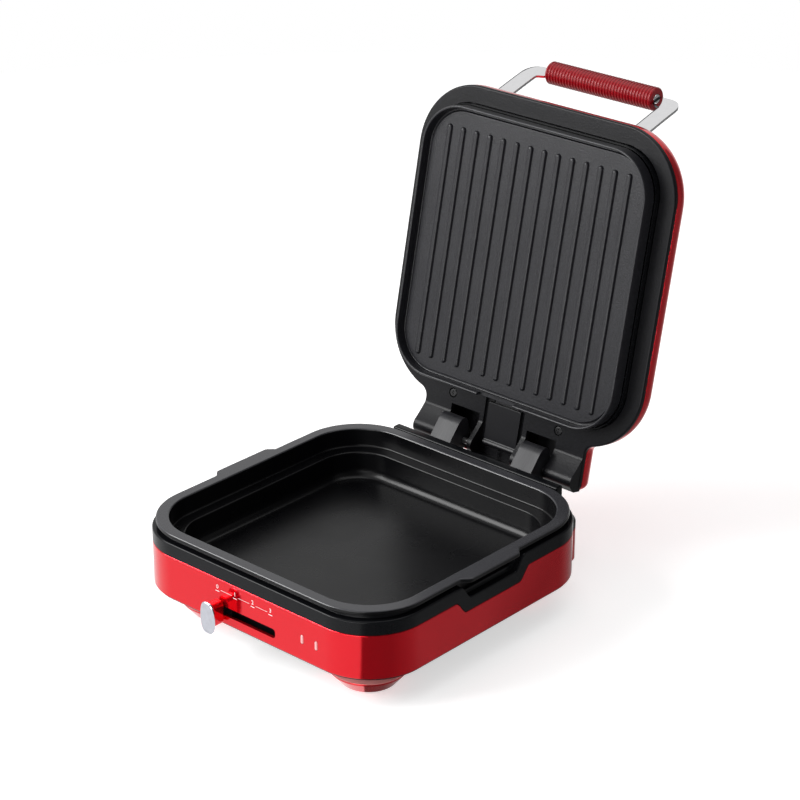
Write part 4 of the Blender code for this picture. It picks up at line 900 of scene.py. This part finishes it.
def marks():
    """The lever's scale: a number over a short bar at each of its places, and a line between the bars."""
    places = (-28.6, -10.7, 7.2, 25.1)
    number_z, line_z, bar_z = 28.3, 26.4, 24.9
    front, thick, gap = -BODY_HALF - 0.04, 0.1, 3.2
    for count, x in enumerate(places):
        drawn, bar = number(str(count)), box((3.8, thick, 0.55), (x, front, bar_z))
        warped(drawn, lambda co: Vector((x + co.x, front - co.z, number_z + co.y)))
        dress(drawn, f"mark_{count}", "base", PRINT)
        dress(bar, f"mark_bar_{count}", "base", PRINT)
    for count, (before, after) in enumerate(zip(places, places[1:])):
        start, end = before + gap, after - gap
        line = box((end - start, thick, 0.25), ((start + end) / 2, front, line_z))
        dress(line, f"mark_line_{count}", "base", PRINT)


base_shell()
base_trim()
base_bottom()
feet()
rear_block()
cord_gland()
deep_pan()
hinge_arms()
lid_shell()
lid_frame()
frame_screws()
grill_plate()
plate_latch()
handle_straps()
handle_grip()
lever()
lamps()
marks()


# Stage, light and camera

AMBIENT = 0.3
MIRRORED = 0.78
FLOOR_LIFT = 0.55
FLOOR_RADIUS = 1.4
FLOOR_DROP = 0.0002

# The middle of the housing's round corner that is nearest to the camera, from which the floor's painted reflection
# is laid out by bearing
NEAR_CORNER_X, NEAR_CORNER_Y = 0.0785, -0.1515


def mathed(tree, how, first, second):
    node = tree.nodes.new("ShaderNodeMath")
    node.operation = how
    for socket, value in zip(node.inputs, (first, second)):
        if isinstance(value, (int, float)):
            socket.default_value = value
        else:
            tree.links.new(value, socket)
    return node.outputs[0]


def surroundings(tree, on_floor):
    """A painted reflection: how bright a gloss finds what it mirrors, by the bearing of what it mirrors.

    It is white, but painted dark to the right, with a dim grey in the middle of the dark; no black flag stands
    there.
    """
    where = tree.nodes.new("ShaderNodeTexCoord")
    parts = tree.nodes.new("ShaderNodeSeparateXYZ")
    tree.links.new(where.outputs["Object" if on_floor else "Generated"], parts.inputs[0])
    x, y = parts.outputs["X"], parts.outputs["Y"]
    if on_floor:
        x = mathed(tree, "SUBTRACT", x, NEAR_CORNER_X)
        y = mathed(tree, "SUBTRACT", y, NEAR_CORNER_Y)
    turn = mathed(tree, "ARCTAN2", x, mathed(tree, "MULTIPLY", y, -1.0))
    share = mathed(tree, "ADD", mathed(tree, "DIVIDE", turn, 2 * math.pi), 0.5)
    ramp = tree.nodes.new("ShaderNodeValToRGB")
    # The tones of the painted reflection, by bearing: bright to the left and front, painted dark to the right
    stops = ((0.0, 0.7), (0.06, 0.95), (0.578, 1.0), (0.588, 0.1), (0.7, 0.12), (0.84, 0.3), (0.9, 0.28),
             (0.93, 0.15), (0.98, 0.25))
    while len(ramp.color_ramp.elements) < len(stops):
        ramp.color_ramp.elements.new(0.5)
    for element, (place, tone) in zip(ramp.color_ramp.elements, stops):
        element.position = place
        element.color = (tone, tone, tone, 1)
    tree.links.new(share, ramp.inputs["Fac"])
    return ramp.outputs["Color"]


def mirroring(tree, rays):
    """1 for a ray that a gloss or a glass sends out."""
    return mathed(tree, "MAXIMUM", rays.outputs["Is Glossy Ray"], rays.outputs["Is Transmission Ray"])


def floor():
    """A pale floor that keeps the shadow and is lifted to white for the camera; in glosses it shows only a painted
    reflection, bright and dark by bearing.
    """
    made, shader = material("floor_white", (0.9, 0.9, 0.9), 0.6)
    tree = made.node_tree
    tone = blended(made, noise(made, 3), (0.895, 0.895, 0.895), (0.905, 0.905, 0.905))
    tree.links.new(tone, shader.inputs["Base Color"])
    shader.inputs["Specular IOR Level"].default_value = 0.0
    rays = tree.nodes.new("ShaderNodeLightPath")
    lift = tree.nodes.new("ShaderNodeEmission")
    strength = mathed(tree, "MULTIPLY", rays.outputs["Is Camera Ray"], FLOOR_LIFT)
    tree.links.new(strength, lift.inputs["Strength"])
    both = tree.nodes.new("ShaderNodeAddShader")
    tree.links.new(shader.outputs[0], both.inputs[0])
    tree.links.new(lift.outputs[0], both.inputs[1])
    mirrored = tree.nodes.new("ShaderNodeEmission")
    tree.links.new(surroundings(tree, on_floor=True), mirrored.inputs["Color"])
    mix = tree.nodes.new("ShaderNodeMixShader")
    tree.links.new(mirroring(tree, rays), mix.inputs[0])
    tree.links.new(both.outputs[0], mix.inputs[1])
    tree.links.new(mirrored.outputs[0], mix.inputs[2])
    tree.links.new(mix.outputs[0], tree.nodes["Material Output"].inputs["Surface"])
    disc = bmesh.new()
    bmesh.ops.create_circle(disc, cap_ends=True, segments=96, radius=FLOOR_RADIUS)
    mesh = bpy.data.meshes.new("floor")
    disc.to_mesh(mesh)
    disc.free()
    mesh.materials.append(made)
    sheet = placed("floor", mesh)
    sheet.location.z = -FLOOR_DROP


def world():
    """A dim grey for the light, white for the camera and, for what is mirrored, a painted reflection, bright and
    dark by bearing.
    """
    made = bpy.data.worlds.new("studio")
    made.use_nodes = True
    bpy.context.scene.world = made
    tree = made.node_tree
    back = tree.nodes["Background"]
    rays = tree.nodes.new("ShaderNodeLightPath")
    tint = tree.nodes.new("ShaderNodeMix")
    tint.data_type = "RGBA"
    plain, coloured = [socket for socket in tint.inputs if socket.type == "RGBA"]
    result = [socket for socket in tint.outputs if socket.type == "RGBA"][0]
    plain.default_value = (1, 1, 1, 1)
    tree.links.new(rays.outputs["Is Glossy Ray"], tint.inputs[0])
    tree.links.new(surroundings(tree, on_floor=False), coloured)
    tree.links.new(result, back.inputs["Color"])
    shown = mathed(tree, "MULTIPLY", rays.outputs["Is Camera Ray"], 1.0 - AMBIENT)
    mirrored = mathed(tree, "MULTIPLY", mirroring(tree, rays), MIRRORED - AMBIENT)
    strength = mathed(tree, "ADD", mathed(tree, "ADD", shown, mirrored), AMBIENT)
    tree.links.new(strength, back.inputs["Strength"])


def lamp(name, place, aim, size, watts):
    light = bpy.data.lights.new(name, "AREA")
    light.shape = "RECTANGLE"
    light.size, light.size_y = size
    light.energy = watts
    made = placed(name, light)
    made.location = place
    made.rotation_euler = (Vector(aim) - Vector(place)).to_track_quat("-Z", "Y").to_euler()


def camera():
    """The camera that was fitted to the photograph's edges."""
    data = bpy.data.cameras.new("camera")
    data.sensor_width = 36
    data.lens = 114.12
    data.clip_end = 50
    place = Vector((1.1473, -1.3139, 0.9374))
    turn, rise, roll = math.radians(41.837), math.radians(24.406), math.radians(0.175)
    back = Vector((math.sin(turn) * math.cos(rise), -math.cos(turn) * math.cos(rise), math.sin(rise)))
    right = Vector((math.cos(turn), math.sin(turn), 0))
    up = back.cross(right)
    across = right * math.cos(roll) + up * math.sin(roll)
    upward = up * math.cos(roll) - right * math.sin(roll)
    made = placed("camera", data)
    made.matrix_world = Matrix((
        (across.x, upward.x, back.x, place.x), (across.y, upward.y, back.y, place.y),
        (across.z, upward.z, back.z, place.z), (0, 0, 0, 1)))
    bpy.context.scene.camera = made


floor()
world()
camera()
lamp("key", (-1.3, -1.6, 1.3), (0, 0, 0.1), (1.6, 1.4), 57)
lamp("top", (0.2, 0.3, 2.0), (0, 0, 0.1), (1.6, 1.6), 8)
lamp("low", (0.5, -1.6, 0.2), (0, 0, 0.02), (1.2, 0.3), 7)
bpy.context.scene.view_settings.view_transform = "Standard"
